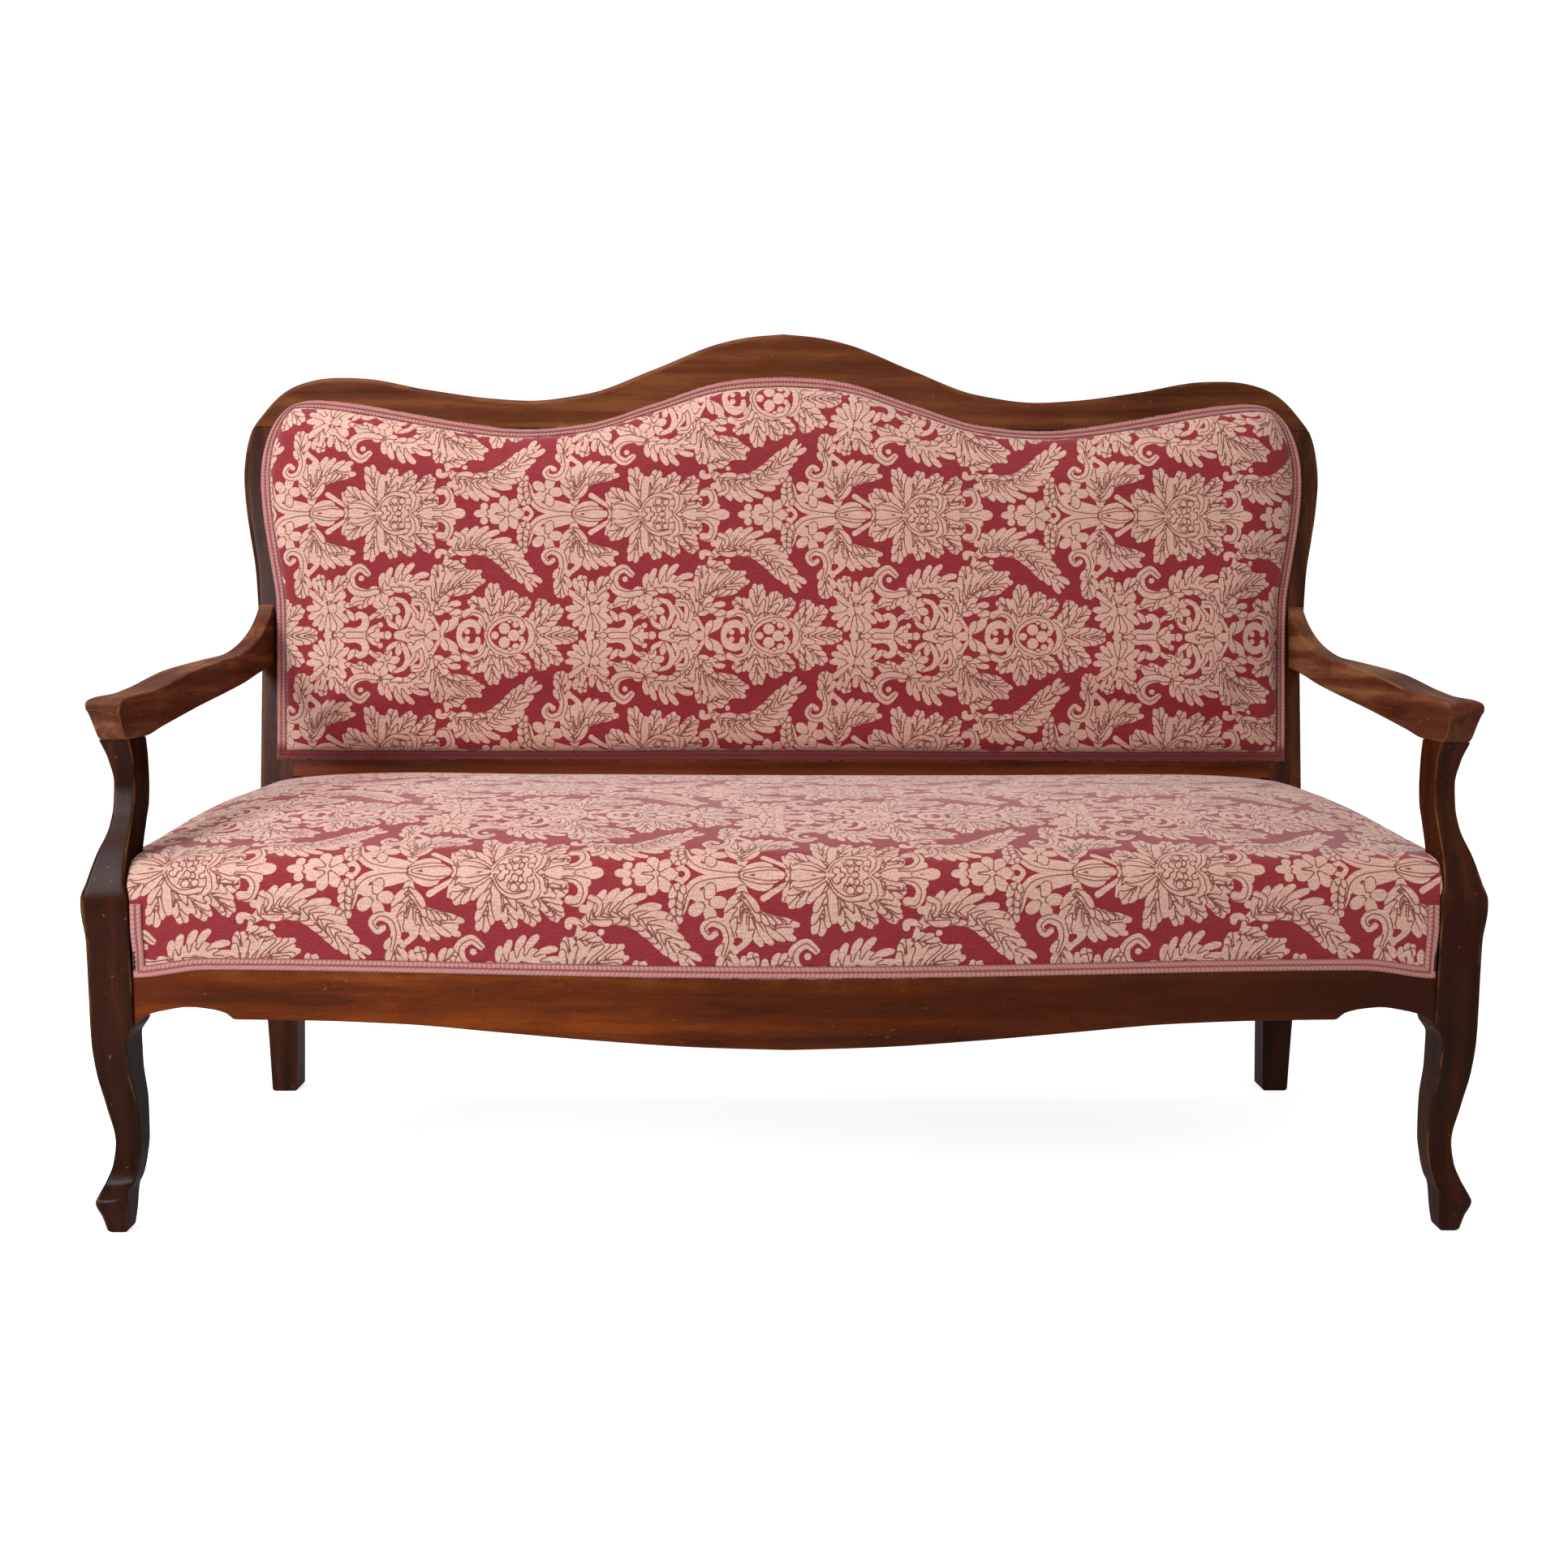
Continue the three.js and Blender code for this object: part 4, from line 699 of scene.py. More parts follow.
def curveThrough(points, count):
    # Catmull-Rom curve through the points
    p = np.array(points, float)
    p = np.vstack([2 * p[0] - p[1], p, 2 * p[-1] - p[-2]])
    at = np.linspace(0, len(p) - 3, count)
    i = np.minimum(at.astype(int), len(p) - 4)
    t = (at - i)[:, None]
    a, b, c, e = p[i], p[i + 1], p[i + 2], p[i + 3]
    return .5 * (2 * b + (c - a) * t + (2 * a - 5 * b + 4 * c - e) * t ** 2 + (3 * b - a - 3 * c + e) * t ** 3)


class damaskWeaver:
    def __init__(self, s):
        self.s = s
        self.columns, self.rows = round(s["across"] / s["cell"]), round(s["rise"] / s["cell"]) + 1
        self.x = (np.arange(self.columns)) * s["across"] / self.columns
        self.y = (np.arange(self.rows)) * s["rise"] / (self.rows - 1)
        self.leaves = np.full((self.rows, self.columns, 3), -float(s["far"]))
        self.turn = 0

    def stroke(self, path, radii, layer=None, ribbed=False, erase=False):
        path = np.asarray(path, float)
        radii = np.interp(np.linspace(0, 1, len(path)), np.linspace(0, 1, len(radii)), radii)
        if layer is None:
            self.turn += 1
            layer = self.turn % 3
        reach = radii.max() + self.s["far"]
        low, high = path.min(0) - reach, path.max(0) + reach
        rows = np.where((self.y >= low[1]) & (self.y <= high[1]))[0]
        for turn in (-1, 0, 1):
            x = self.x + turn * self.s["across"]
            columns = np.where((x >= low[0]) & (x <= high[0]))[0]
            if not len(rows) or not len(columns):
                continue
            gx, gy = x[columns][None], self.y[rows][:, None]
            best = np.full((len(rows), len(columns)), -1e9)
            side = np.zeros_like(best)
            for k in range(len(path) - 1):
                (ax, ay), (bx, by) = path[k], path[k + 1]
                t = ((gx - ax) * (bx - ax) + (gy - ay) * (by - ay)) / max((bx - ax) ** 2 + (by - ay) ** 2, 1e-9)
                t = np.clip(t, 0, 1)
                away = np.hypot(gx - ax - t * (bx - ax), gy - ay - t * (by - ay))
                radius = radii[k] + (radii[k + 1] - radii[k]) * t
                near = radius - away > best
                best = np.where(near, radius - away, best)
                # The rib runs along the middle and drifts to one edge over the stroke's last half
                turned = np.sign((bx - ax) * (gy - ay) - (by - ay) * (gx - ax)) * away
                drift = 2.2 * max((k + 1) / len(path) - .5, 0)
                side = np.where(near, turned + radius * drift, side)
            window = np.ix_(rows, columns)
            leaves = np.minimum(self.leaves[window], -best[..., None])
            if not erase:
                own = np.minimum(best, side) if ribbed else best
                leaves[..., layer] = np.maximum(self.leaves[window][..., layer], own)
            if ribbed and not erase:
                leaves[..., layer] = np.where(best > 0, own, leaves[..., layer])
                other = (layer + 1) % 3
                leaves[..., other] = np.maximum(leaves[..., other], np.minimum(best, -side))
            self.leaves[window] = leaves

    def finger(self, start, heading, length, width, bend, layer=None):
        # A lobe: narrow at its root, widest near its round tip
        t = np.linspace(0, 1, 8)
        angle = heading + bend * t
        step = np.stack([np.cos(angle), np.sin(angle)], 1) * length / 7
        path = np.array(start) + np.cumsum(step, 0) - step[0]
        self.stroke(path, width * np.array([.4, .56, .7, .84, .96, 1, .94, .7]), layer)

    def frond(self, points, reach, count, sides=(1, -1), width=1, spread=(60, 24)):
        # A slender blade along the spine, then lobes from the tip to the base, each over the one before
        spine, reach = curveThrough(points, 40), reach * self.s["full"]
        slope = np.gradient(spine, axis=0)
        angle = np.unwrap(np.arctan2(slope[:, 1], slope[:, 0]))
        spacing = np.hypot(*slope.T).sum() * .8 / count
        lobe = width * min(max(spacing * .5, 2.3), 3.9)
        self.stroke(spine, reach * np.array([.12, .28, .32, .24, .03]), 0)
        self.finger(spine[32], angle[36], reach * .72, lobe * 1.1, 0, 2)
        for n, a in enumerate(np.linspace(.9, .08, count + 1)):
            k = int(a * 39)
            size = reach * (.7 + .34 * math.sin(math.pi * min(a * 1.15, 1)))
            for side in sides:
                lean = math.radians(spread[0] + 6 + (spread[1] - spread[0]) * a)
                self.finger(spine[k], angle[k] + side * lean, size, lobe * (.8 + .2 * size / reach), -side * .62,
                            1 + (n + (side > 0)) % 2)

    def petals(self, centre, count, start, length, width, phase):
        # Fingers round a centre; an odd last one lies in a layer of its own
        for k in range(count):
            a = phase + 2 * math.pi * k / count
            self.finger((centre[0] + start * math.cos(a), centre[1] + start * math.sin(a)), a, length, width, 0,
                        0 if count % 2 and k == count - 1 else 1 + k % 2)

    def field(self, s, t):
        # Mirrored and repeated, with values between grid points mixed from the nearest four
        size, grid = self.s, self.leaves
        t = np.abs((t + size["rise"]) % (2 * size["rise"]) - size["rise"]) / size["rise"] * (self.rows - 1)
        s = (s % size["across"]) / size["across"] * self.columns
        r, c = np.minimum(t.astype(int), self.rows - 2), s.astype(int) % self.columns
        v, u, right = (t - r)[..., None], (s - np.floor(s))[..., None], (c + 1) % self.columns
        top = grid[r, c] * (1 - u) + grid[r, right] * u
        low = grid[r + 1, c] * (1 - u) + grid[r + 1, right] * u
        return top * (1 - v) + low * v


def drawDamask(s):
    cloth = damaskWeaver(s)
    frond, stroke, finger, petals = cloth.frond, cloth.stroke, cloth.finger, cloth.petals

    def line(points, radii, count=26, **more):
        stroke(curveThrough(points, count), radii, **more)

    def dots(*spots):
        for n, (x, y, r) in enumerate(spots):
            stroke([(x, y), (x + .1, y)], [r], layer=1 + n % 2)
    # Long feather between the rows, with its hooks
    frond([(106, 61), (125, 49), (150, 45), (178, 55), (205, 78), (236, 108)], 30, 10, spread=(56, 36))
    line([(106, 62), (97, 57), (90, 58), (90, 63)], [2.4, 3.2, 3.4, 3.6])
    line([(103, 64), (100, 76), (94, 92), (92, 106)], [2.2, 2.6, 2.6, 1.5])
    line([(117, 31), (125, 34), (127, 42), (122, 50)], [3.6, 3.4, 3, 2])
    frond([(98, 78), (110, 80), (122, 84)], 13, 3)
    dots((107, 43, 4.2), (128, 70, 3))
    # Medallion: leaves from the node, a ring with seeds, a collar, and a fleur on the right
    frond([(0, 3), (-20, 16), (-38, 28)], 19, 3, spread=(52, 30))
    frond([(0, 3), (-3, 30), (-10, 58)], 22, 3, spread=(46, 28))
    frond([(8, 14), (30, 34), (46, 52)], 18, 4, spread=(50, 30))
    frond([(3, 8), (15, 34), (21, 56)], 17, 3, spread=(46, 28))
    finger((2, 5), 1.46, 48, 6.2, .05)
    finger((-3, 3), 2.85, 29, 6, -.15)
    frond([(44, 25), (60, 33), (73, 46)], 18, 4, spread=(50, 30))
    frond([(58, 12), (70, 19), (80, 20)], 12, 3)
    stroke(curveThrough([(48, 2), (24, 2), (8, 2)], 12), [20, 22, 12], layer=0)
    line([(0, 4), (9, 19), (25, 28), (44, 26)], [2.6, 4.2, 4.6, 3.4], ribbed=True)
    line([(49, 3), (55, 12), (55, 24), (48, 31)], [3.4, 6.2, 6.2, 3.4], ribbed=True)
    finger((60, 4), .35, 26, 5.4, -.1)
    line([(64, 2), (78, 5), (92, 4)], [3, 4.2, 3.4])
    line([(84, 7), (99, 10), (107, 21), (101, 34), (91, 33)], [2.8, 4, 5.2, 5.4, 4.8], ribbed=True)
    for heading in (.75, 0):
        finger((99, 1), heading, 26 - 12 * heading, 6.4 - heading, 0)
    stroke([(107, 0), (112, 0)], [1.8, 1.2], erase=True)
    dots((13, 15, 4.6), (25, 19, 5), (36, 18, 4.6), (9, 6, 4.6), (44, 9, 4), (20, 10, 3.6), (32, 9, 4))
    petals((22, 0), 6, 2, 9, 3.8, 0)
    dots((22, 0, 3))
    # Eye and bracket left of the node, and its two antennae
    line([(-5, 5), (-20, 13), (-33, 14), (-43, 9)], [3, 5.2, 5, 2.6], ribbed=True)
    finger((-6, 0), math.pi, 38, 7.6, 0)
    stroke([(-15, 0), (-21, 0)], [2, 1.6], erase=True)
    line([(-46, 0), (-47, 7), (-43, 12)], [2.2, 2, 2.6])
    line([(-45, 9), (-58, 17), (-75, 28)], [2, 2.4, 3.2])
    line([(-46, 11), (-50, 19), (-52, 30)], [1.9, 1.8, 1.6])
    # Sprays and C-scroll with a flower, and the tulip bud between them
    frond([(-100, 16), (-98, 38), (-82, 54), (-50, 64)], 31, 7, spread=(56, 32))
    frond([(-103, 28), (-107, 46), (-102, 64)], 13, 3, (1,))
    line([(-88, 66), (-94, 78), (-110, 92)], [2.4, 3, 2.4])
    line([(-96, 2), (-125, 4), (-150, 10), (-164, 25), (-171, 44), (-184, 52)], [4, 5.4, 6, 5.4, 4.6, 3], ribbed=True)
    line([(-98, 9), (-120, 14), (-138, 19), (-148, 28)], [2.6, 3.8, 4, 2.4])
    petals((-141, 33), 5, 4, 15, 6.6, 1.25)
    dots((-141, 33, 3.6))
    finger((-101, 3), .55, 32, 8, -.5)
    finger((-100, 2), .2, 38, 7, -.25)
    finger((-96, 0), 0, 40, 7, 0)
    stroke([(-92, 0), (-86, 0)], [1.4, 2.4], erase=True)
    frond([(-169, 12), (-175, 30), (-174, 54)], 9, 4)
    line([(-162, 0), (-165, 5), (-170, 8), (-176, 5), (-178, 0)], [2, 2.2, 2.6, 2.2, 1.8])
    dots((-181, 19, 3.8))
    # Flower head with three buds, left of the scrolls
    petals((-200, 1), 7, 3, 18, 6.6, 0)
    dots((-200, 0, 4.4), (-223, 0, 6.2), (-233, 10.5, 5))
    finger((-229, 0), math.pi, 15, 5, 0)
    # Hook with leaves that rise between the feathers
    frond([(-119, 78), (-117, 98), (-118, 112)], 17, 3)
    line([(-120, 96), (-115, 76), (-120, 60), (-134, 55), (-144, 63), (-138, 73), (-131, 69)],
         [3, 5.4, 5.8, 4.8, 3.6, 3, 3.4], ribbed=True)
    # Second row: hook and arching leaves over the flower scroll
    frond([(0, 116), (22, 104), (46, 99), (64, 114), (73, 138)], 23, 7, (-1,), spread=(70, 50))
    frond([(4, 118), (24, 110), (44, 110), (60, 124)], 15, 4, (1,), spread=(46, 26))
    frond([(6, 114), (-10, 123), (-22, 133)], 13, 3)
    line([(-14, 90), (-26, 81), (-40, 92), (-38, 110), (-22, 119), (0, 117)], [3.6, 5.2, 5.8, 6.4, 6, 4], ribbed=True)
    dots((-24, 97, 3.4))
    petals((14, 140), 6, 3, 14, 5.4, .3)
    dots((14, 140, 3.4))
    line([(27, 127), (41, 133), (46, 150), (36, 168), (21, 165), (15, 154)], [2.6, 3, 3.2, 3.2, 3, 2.2])
    finger((34, 170), -1.7, 16, 4, 0)
    line([(57, 131), (67, 133), (71, 147), (64, 165), (48, 176), (30, 180)], [5.6, 4.4, 6, 6.6, 5.2, 3.6], ribbed=True)
    line([(50, 138), (58, 152), (50, 168)], [3, 5, 3.6], ribbed=True)
    line([(-12, 158), (-4, 152), (4, 150)], [1.8, 2.6, 1.8])
    dots((5, 166, 3.4))
    line([(-58, 181), (-46, 175), (-32, 176), (-20, 170), (-17, 158), (-25, 151), (-32, 155)],
         [2.4, 4.4, 4.6, 5, 4.8, 4, 4])
    line([(-44, 181.4), (-10, 181.4), (16, 181.4)], [4.8, 4, 4])
    finger((-15, 180), -.75, 18, 4, .2)
    dots((0, 174, 3.4), (16, 181.4, 5.4))
    petals((-66, 181.4), 6, 2, 11, 4.6, 0)
    # Star flower and the leaf cluster above it
    petals((70, 181.4), 6, 2, 21, 6, 0)
    line([(50, 178), (60, 177), (70, 179)], [2.4, 3.2, 2])
    line([(74, 136), (80, 152), (92, 172)], [3.6, 3, 2])
    frond([(80, 130), (89, 108), (90, 90)], 19, 3)
    frond([(78, 142), (92, 120), (116, 108), (142, 98)], 30, 7, spread=(52, 30))
    frond([(80, 150), (92, 139), (106, 139), (116, 147)], 17, 3, spread=(56, 34))
    finger((98, 176), -.75, 23, 6.6, .1)
    finger((96, 180), -1.25, 19, 5, .1)
    line([(122, 179), (127, 168), (139, 163), (149, 168), (150, 176)], [3.4, 5, 5.2, 4, 2.8])
    dots((134, 176, 3.4))
    # Palmette with four berries
    frond([(165, 172), (158, 148), (146, 134)], 16, 3, spread=(52, 30))
    line([(164, 174), (157, 154), (143, 146), (130, 150)], [3, 4.2, 4.6, 5], ribbed=True)
    frond([(190, 154), (206, 144), (217, 135)], 15, 3, spread=(50, 30))
    frond([(178, 160), (189, 140), (197, 128)], 18, 3, spread=(46, 28))
    frond([(168, 170), (170, 142), (172, 118)], 22, 3, spread=(46, 28))
    frond([(228, 166), (240, 152), (243, 140)], 17, 3, spread=(50, 30))
    frond([(232, 172), (249, 160), (264, 147)], 18, 3, spread=(48, 30))
    frond([(234, 181.4), (260, 181.4), (282, 181.4)], 23, 4, spread=(44, 26))
    stroke(curveThrough([(176, 181.4), (196, 181.4), (210, 181.4)], 10), [13, 24, 19], erase=True)
    line([(163, 181), (168, 168), (180, 158), (196, 154), (212, 159), (218, 171)], [3, 4.2, 4.6, 4.6, 4.2, 3],
         ribbed=True)
    line([(221, 159), (229, 166), (230, 179)], [3.8, 6.2, 4.4], ribbed=True)
    dots((189, 171, 7.6), (203, 181.4, 7.8), (175, 181.4, 5), (206, 165, 4.2), (214, 176, 3.4), (197, 160, 2.6))
    # Cluster of berries and petals on the left of the second row
    frond([(-82, 138), (-91, 120), (-89, 104)], 17, 3)
    frond([(-72, 134), (-66, 116), (-54, 104)], 17, 3)
    for n, heading in enumerate((-2.55, 3.05, 2.65, 2.25, 1.9, 1.55, 1.2, .85, .5)):
        finger((-74 + 6 * math.cos(heading), 141 + 5 * math.sin(heading)), heading, 28, 4.8, .2, 1 + n % 2)
    dots((-54, 122, 6.4), (-89, 104, 5), (-81, 145, 7.2), (-68, 142, 7.2), (-53, 138, 7.6), (-70, 124, 6))
    line([(-47, 138), (-36, 135), (-22, 133)], [3, 2.4, 2.8])
    finger((-40, 136), -.9, 14, 3.4, 0)
    finger((-44, 146), .9, 14, 4, 0)
    dots((-66, 171, 4.2), (-72, 178, 3.6), (-64, 181.4, 3))
    return cloth


# Cloth surfaces
coarseStep = 8  # fine grids are whole multiples of this many cells
canvasSettings = {"thick": 1.5, "ramp": 58, "webs": 2}


def wholeSteps(length, step):
    # Length over step, rounded down to whole coarse cells
    return max(int(length / step / coarseStep) * coarseStep, coarseStep)


def evenly(profile, step):
    # A profile's points at even arc length, which is the running sum of the distances between them
    profile = np.asarray(profile, float)
    arc = arcOf(profile)
    count = max(int(round(arc[-1] / step / coarseStep)) * coarseStep, coarseStep)
    at = np.linspace(0, arc[-1], count + 1)
    return [np.interp(at, arc, column) for column in profile.T], at


def borderOf(rows, columns, first=0):
    # Numbers of a grid's border points, once round
    index = np.arange(rows * columns).reshape(rows, columns) + first
    return np.concatenate([index[0, :-1], index[:-1, -1], index[-1, :0:-1], index[:0:-1, 0]])


def shellPiece(name, outer, inner, marks, lay):
    # Fine outer grid and an inner grid of every eighth point; fans of triangles join their borders
    rows, columns = outer.shape[:2]
    keep = coarseStep
    thin = inner[::keep, ::keep]
    low, wide = thin.shape[:2]
    fine, coarse = borderOf(rows, columns), borderOf(low, wide, rows * columns)
    j = np.arange(len(fine))
    tips = coarse[((j + keep // 2) // keep) % len(coarse)]
    fans = np.stack([fine[(j + 1) % len(fine)], fine, tips], 1)
    m = np.arange(len(coarse))
    joins = np.stack([coarse[m], coarse[(m + 1) % len(coarse)], fine[(m * keep + keep // 2) % len(fine)]], 1)
    quads = np.concatenate([gridFaces(rows, columns), gridFaces(low, wide, first=rows * columns)[:, ::-1]])
    points = np.concatenate([outer.reshape(-1, 3), thin.reshape(-1, 3)])
    faces = outward(points, [quads, np.concatenate([fans, joins])])
    marks = {label: np.append(values, values[::keep, ::keep]) for label, values in marks.items()}
    coordinates = np.concatenate([lay.reshape(-1, 2), lay[::keep, ::keep].reshape(-1, 2)])
    return makePiece(name, points, faces, marks, coordinates, sharpFrom=75)


clothSettings = {"stiff": 22, "bending": .6, "mass": .4, "quality": 6, "pressure": 3.2, "frames": 14}


def puffed(name, grid, pinned, most, s):
    # Cloth simulation of a coarse copy of a grid, with air pressure from inside and pinned points. Returns how far
    # it moves, and no move is longer than most. On the back most points reach that cap. The seat's coarse grid has
    # points that lie on each other, and there the simulation moves nothing.
    coarse = grid[::coarseStep, ::coarseStep]
    rows, columns = coarse.shape[:2]
    sheet = makePiece(name + "_cloth", coarse, [gridFaces(rows, columns)])
    held = sheet.vertex_groups.new(name="held")
    held.add(np.where(pinned[::coarseStep, ::coarseStep].ravel())[0].tolist(), 1, "REPLACE")
    cloth = sheet.modifiers.new("cloth", "CLOTH")
    settings = cloth.settings
    settings.vertex_group_mass = "held"
    settings.quality, settings.mass = s["quality"], s["mass"]
    settings.tension_stiffness = settings.compression_stiffness = s["stiff"]
    settings.shear_stiffness, settings.bending_stiffness = s["stiff"] / 3, s["bending"]
    settings.use_pressure, settings.uniform_pressure_force = True, s["pressure"]
    settings.effector_weights.gravity = 0
    cloth.collision_settings.use_collision = False
    for f in range(1, s["frames"] + 1):
        scene.frame_set(f)
    shown = sheet.evaluated_get(bpy.context.evaluated_depsgraph_get())
    spots = np.zeros(rows * columns * 3, np.float32)
    shown.data.vertices.foreach_get("co", spots)
    moved = (spots.reshape(rows, columns, 3).astype(float) - (0, kneeLine, 0)) * 1000 - coarse
    length = np.linalg.norm(moved, axis=-1, keepdims=True)
    moved *= np.minimum(1, most / np.maximum(length, 1e-6))
    bpy.data.objects.remove(sheet)
    scene.frame_set(1)
    print(name, "puffed, largest move in mm", round(float(length.max()), 1), "cut to", most)
    return widened(moved, grid.shape[:2], coarseStep)


def widened(field, shape, keep):
    # A coarse field between its points: rows then columns by linear mixing, then twice a running mean
    # over one cell, each way
    rows, columns = np.arange(shape[0]) / keep, np.arange(shape[1]) / keep
    r, c = np.minimum(rows.astype(int), field.shape[0] - 2), np.minimum(columns.astype(int), field.shape[1] - 2)
    tall = mix(field[r], field[r + 1], (rows - r)[:, None, None])
    fine = mix(tall[:, c], tall[:, c + 1], (columns - c)[None, :, None])
    half = keep // 2
    for axis in (0, 0, 1, 1):
        pad = [(keep, keep) if k == axis else (0, 0) for k in range(3)]
        total = np.cumsum(np.pad(fine, pad, mode="edge"), axis)
        at = np.arange(fine.shape[axis]) + keep
        fine = (np.take(total, at + half, axis) - np.take(total, at - half - 1, axis)) / (half * 2 + 1)
    return fine


def unevenness(shape, seed, size, amount):
    # Soft lumps: seeded random numbers on a coarse grid, mixed between its points
    keep = max(int(size), 2)
    coarse = np.random.default_rng(seed).normal(size=(shape[0] // keep + 3, shape[1] // keep + 3, 1))
    return widened(coarse, shape, keep)[..., 0] * amount


# Weave shared by the covers, the gimps and the plain cloths
def weaveGroup():
    # Ribs are |sin| of the warp count times |sin| of the weft count; slubs are noise drawn long across the threads
    tree, given, out = makeGroup("weave", [("Lay", "Vector", None), ("Threads", "Float", 900.0)],
                                 [("Ribs", "Float"), ("Slub", "Float")])
    lay = addNode(tree, "ShaderNodeVectorMath", {0: given["Lay"], 3: given["Threads"]}, operation="SCALE").outputs[0]
    parts = addNode(tree, "ShaderNodeSeparateXYZ", {0: lay}).outputs
    warp = maths(tree, "SINE", times(tree, parts[0], math.pi))
    weft = maths(tree, "SINE", times(tree, plus(tree, parts[1], times(tree, parts[0], .5)), math.pi))
    ribs = times(tree, maths(tree, "ABSOLUTE", warp), maths(tree, "ABSOLUTE", weft))
    long = addNode(tree, "ShaderNodeMapping", {0: given["Lay"], 3: (60, 700, 60)}).outputs[0]
    tree.links.new(ribs, out.inputs["Ribs"])
    tree.links.new(noise(tree, long, 1, 4), out.inputs["Slub"])
    return tree


weave = weaveGroup()


def weaveOver(tree, lay, threads):
    # Ribs and slubs of the weave over lay
    return addNode(tree, "ShaderNodeGroup", {"Lay": lay, "Threads": threads}, node_tree=weave).outputs


damaskSettings = {"ground": colour(109, 23, 31), "groundLight": colour(150, 44, 52), "motif": colour(174, 128, 112),
                  "motifLight": colour(226, 184, 168), "line": colour(108, 38, 32), "lineDepth": .92,
                  "threads": 620, "sharp": .4, "grown": .75, "lineWidth": .85, "bump": .0006}


def makeDamask(name, s):
    material, tree, shader = makeMaterial(name, Roughness=.82, Sheen_Weight=.42, Sheen_Roughness=.35,
                                          Sheen_Tint=(1, .95, .93, 1), Specular_IOR_Level=.25)
    lay = addNode(tree, "ShaderNodeUVMap", uv_map="lay").outputs[0]
    leaves = addNode(tree, "ShaderNodeAttribute", attribute_name="leaves").outputs["Vector"]
    a, b, c = addNode(tree, "ShaderNodeSeparateXYZ", {0: leaves}).outputs
    cover = larger(tree, larger(tree, a, b), c)
    least = smaller(tree, smaller(tree, a, b), c)
    total = plus(tree, plus(tree, a, b), c)
    second = minus(tree, minus(tree, total, cover), least)
    ribs, slub = weaveOver(tree, lay, s["threads"])
    frayed = plus(tree, cover, times(tree, minus(tree, slub, .5), 1.1))
    frayed = plus(tree, frayed, s["grown"])
    inside = ramp(tree, frayed, -s["sharp"], s["sharp"])
    yarn = noise(tree, lay, 460, 2)
    tone = plus(tree, times(tree, ribs, .3), times(tree, slub, 1.1))
    tone = minus(tree, plus(tree, tone, times(tree, yarn, 1.3)), .8)
    tone = ramp(tree, tone, 0, 1)
    ground = blendColours(tree, tone, s["ground"], s["groundLight"])
    motif = blendColours(tree, tone, s["motif"], s["motifLight"])
    # A line runs where the highest layer and the second one are both near zero
    narrow, wide = .4 * s["lineWidth"], 1.6 * s["lineWidth"]
    edge = times(tree, ramp(tree, cover, wide, narrow), ramp(tree, second, -wide, -narrow))
    motif = blendColours(tree, times(tree, edge, s["lineDepth"]), motif, s["line"])
    tree.links.new(blendColours(tree, inside, ground, motif), shader.inputs["Base Color"])
    height = plus(tree, times(tree, ribs, .5), times(tree, inside, .5))
    height = minus(tree, height, times(tree, edge, .3))
    setNormal(tree, shader, height, s["bump"], .55)
    return material


damaskCloth = makeDamask("damask", damaskSettings)
pattern, patternScale = drawDamask(damask), .983
print("damask drawn")

# The back upholstery: across by u from -1 to 1, upwards by v from 0 to 1
cornerTop = float(panelTop(crestReach - 1.252 * d.stileWidth))
armUpShare = (armEndTop - d.panelBottom) / (cornerTop - d.panelBottom)
panelSideShares = [[0, .873], [.35, .494], [.5, .362], [.636, .297], [.73, .329], [.825, .527], [.92, .791],
                   [1, 1.252]]
panelSide = track([[0, crestReach - .955 * d.stileWidth]]
                  + [[mix(armUpShare, 1, v), crestReach - share * d.stileWidth] for v, share in panelSideShares])
panelHeight = float(panelTop(0)) - d.panelBottom
cornerSettings = {"soften": 33, "fade": 60, "from": .4, "points": 600, "power": 6}


def roundCorners(s):
    # The panel's border over one upper corner, up its side by v and back along its top by u, and how far softening
    # moves it in x and z
    v, u = np.linspace(s["from"], 1, s["points"]), np.linspace(1, s["from"], s["points"])
    x = np.concatenate([panelSide(v), u * panelSide(1.0)])
    z = np.concatenate([mix(d.panelBottom, panelTop(panelSide(1.0)), v), panelTop(u * panelSide(1.0))])
    shift = softened(np.stack([x, z], 1), s)
    return (v, *shift[:s["points"]].T), (u[::-1], *shift[:s["points"] - 1:-1].T)


softSide, softTop = roundCorners(cornerSettings)


def panelPoint(u, v, depth):
    # x = u times the half width at v; z from the lower edge to the top edge at u; depth stands off the frame
    u, v, depth = np.broadcast_arrays(u, v, depth)
    size, power = np.abs(u), cornerSettings["power"]
    x = size * panelSide(v)
    z = mix(d.panelBottom, panelTop(size * panelSide(1.0)), v)
    a, b = size ** power, np.clip(v, 0, 1) ** power
    shifts = []
    for axis in (1, 2):
        fromSide, fromTop = np.interp(v, softSide[0], softSide[axis]), np.interp(size, softTop[0], softTop[axis])
        shifts.append(fromSide * a + fromTop * b - softTop[axis][-1] * a * b)
    x, z = x + shifts[0], z + shifts[1]
    return np.stack([x * np.sign(u), backFace(z) - depth, z], -1)


def rollUp(distance):
    # Quarter circle over the roll's width from the flange on: root of one less the missing share squared
    t = np.clip((distance - d.flange) / d.roll, 0, 1)
    return np.sqrt(1 - (1 - t) ** 2)


def backDepth(u, v):
    # Puff times the rolls of both ways, plus a crown that falls with the fourth power towards the border
    rise = rollUp((1 - np.abs(u)) * crestReach) * rollUp((1 - np.abs(2 * v - 1)) * panelHeight / 2)
    return d.puff * rise + d.crown * rise * (1 - u ** 4) * (1 - (2 * v - 1) ** 4)


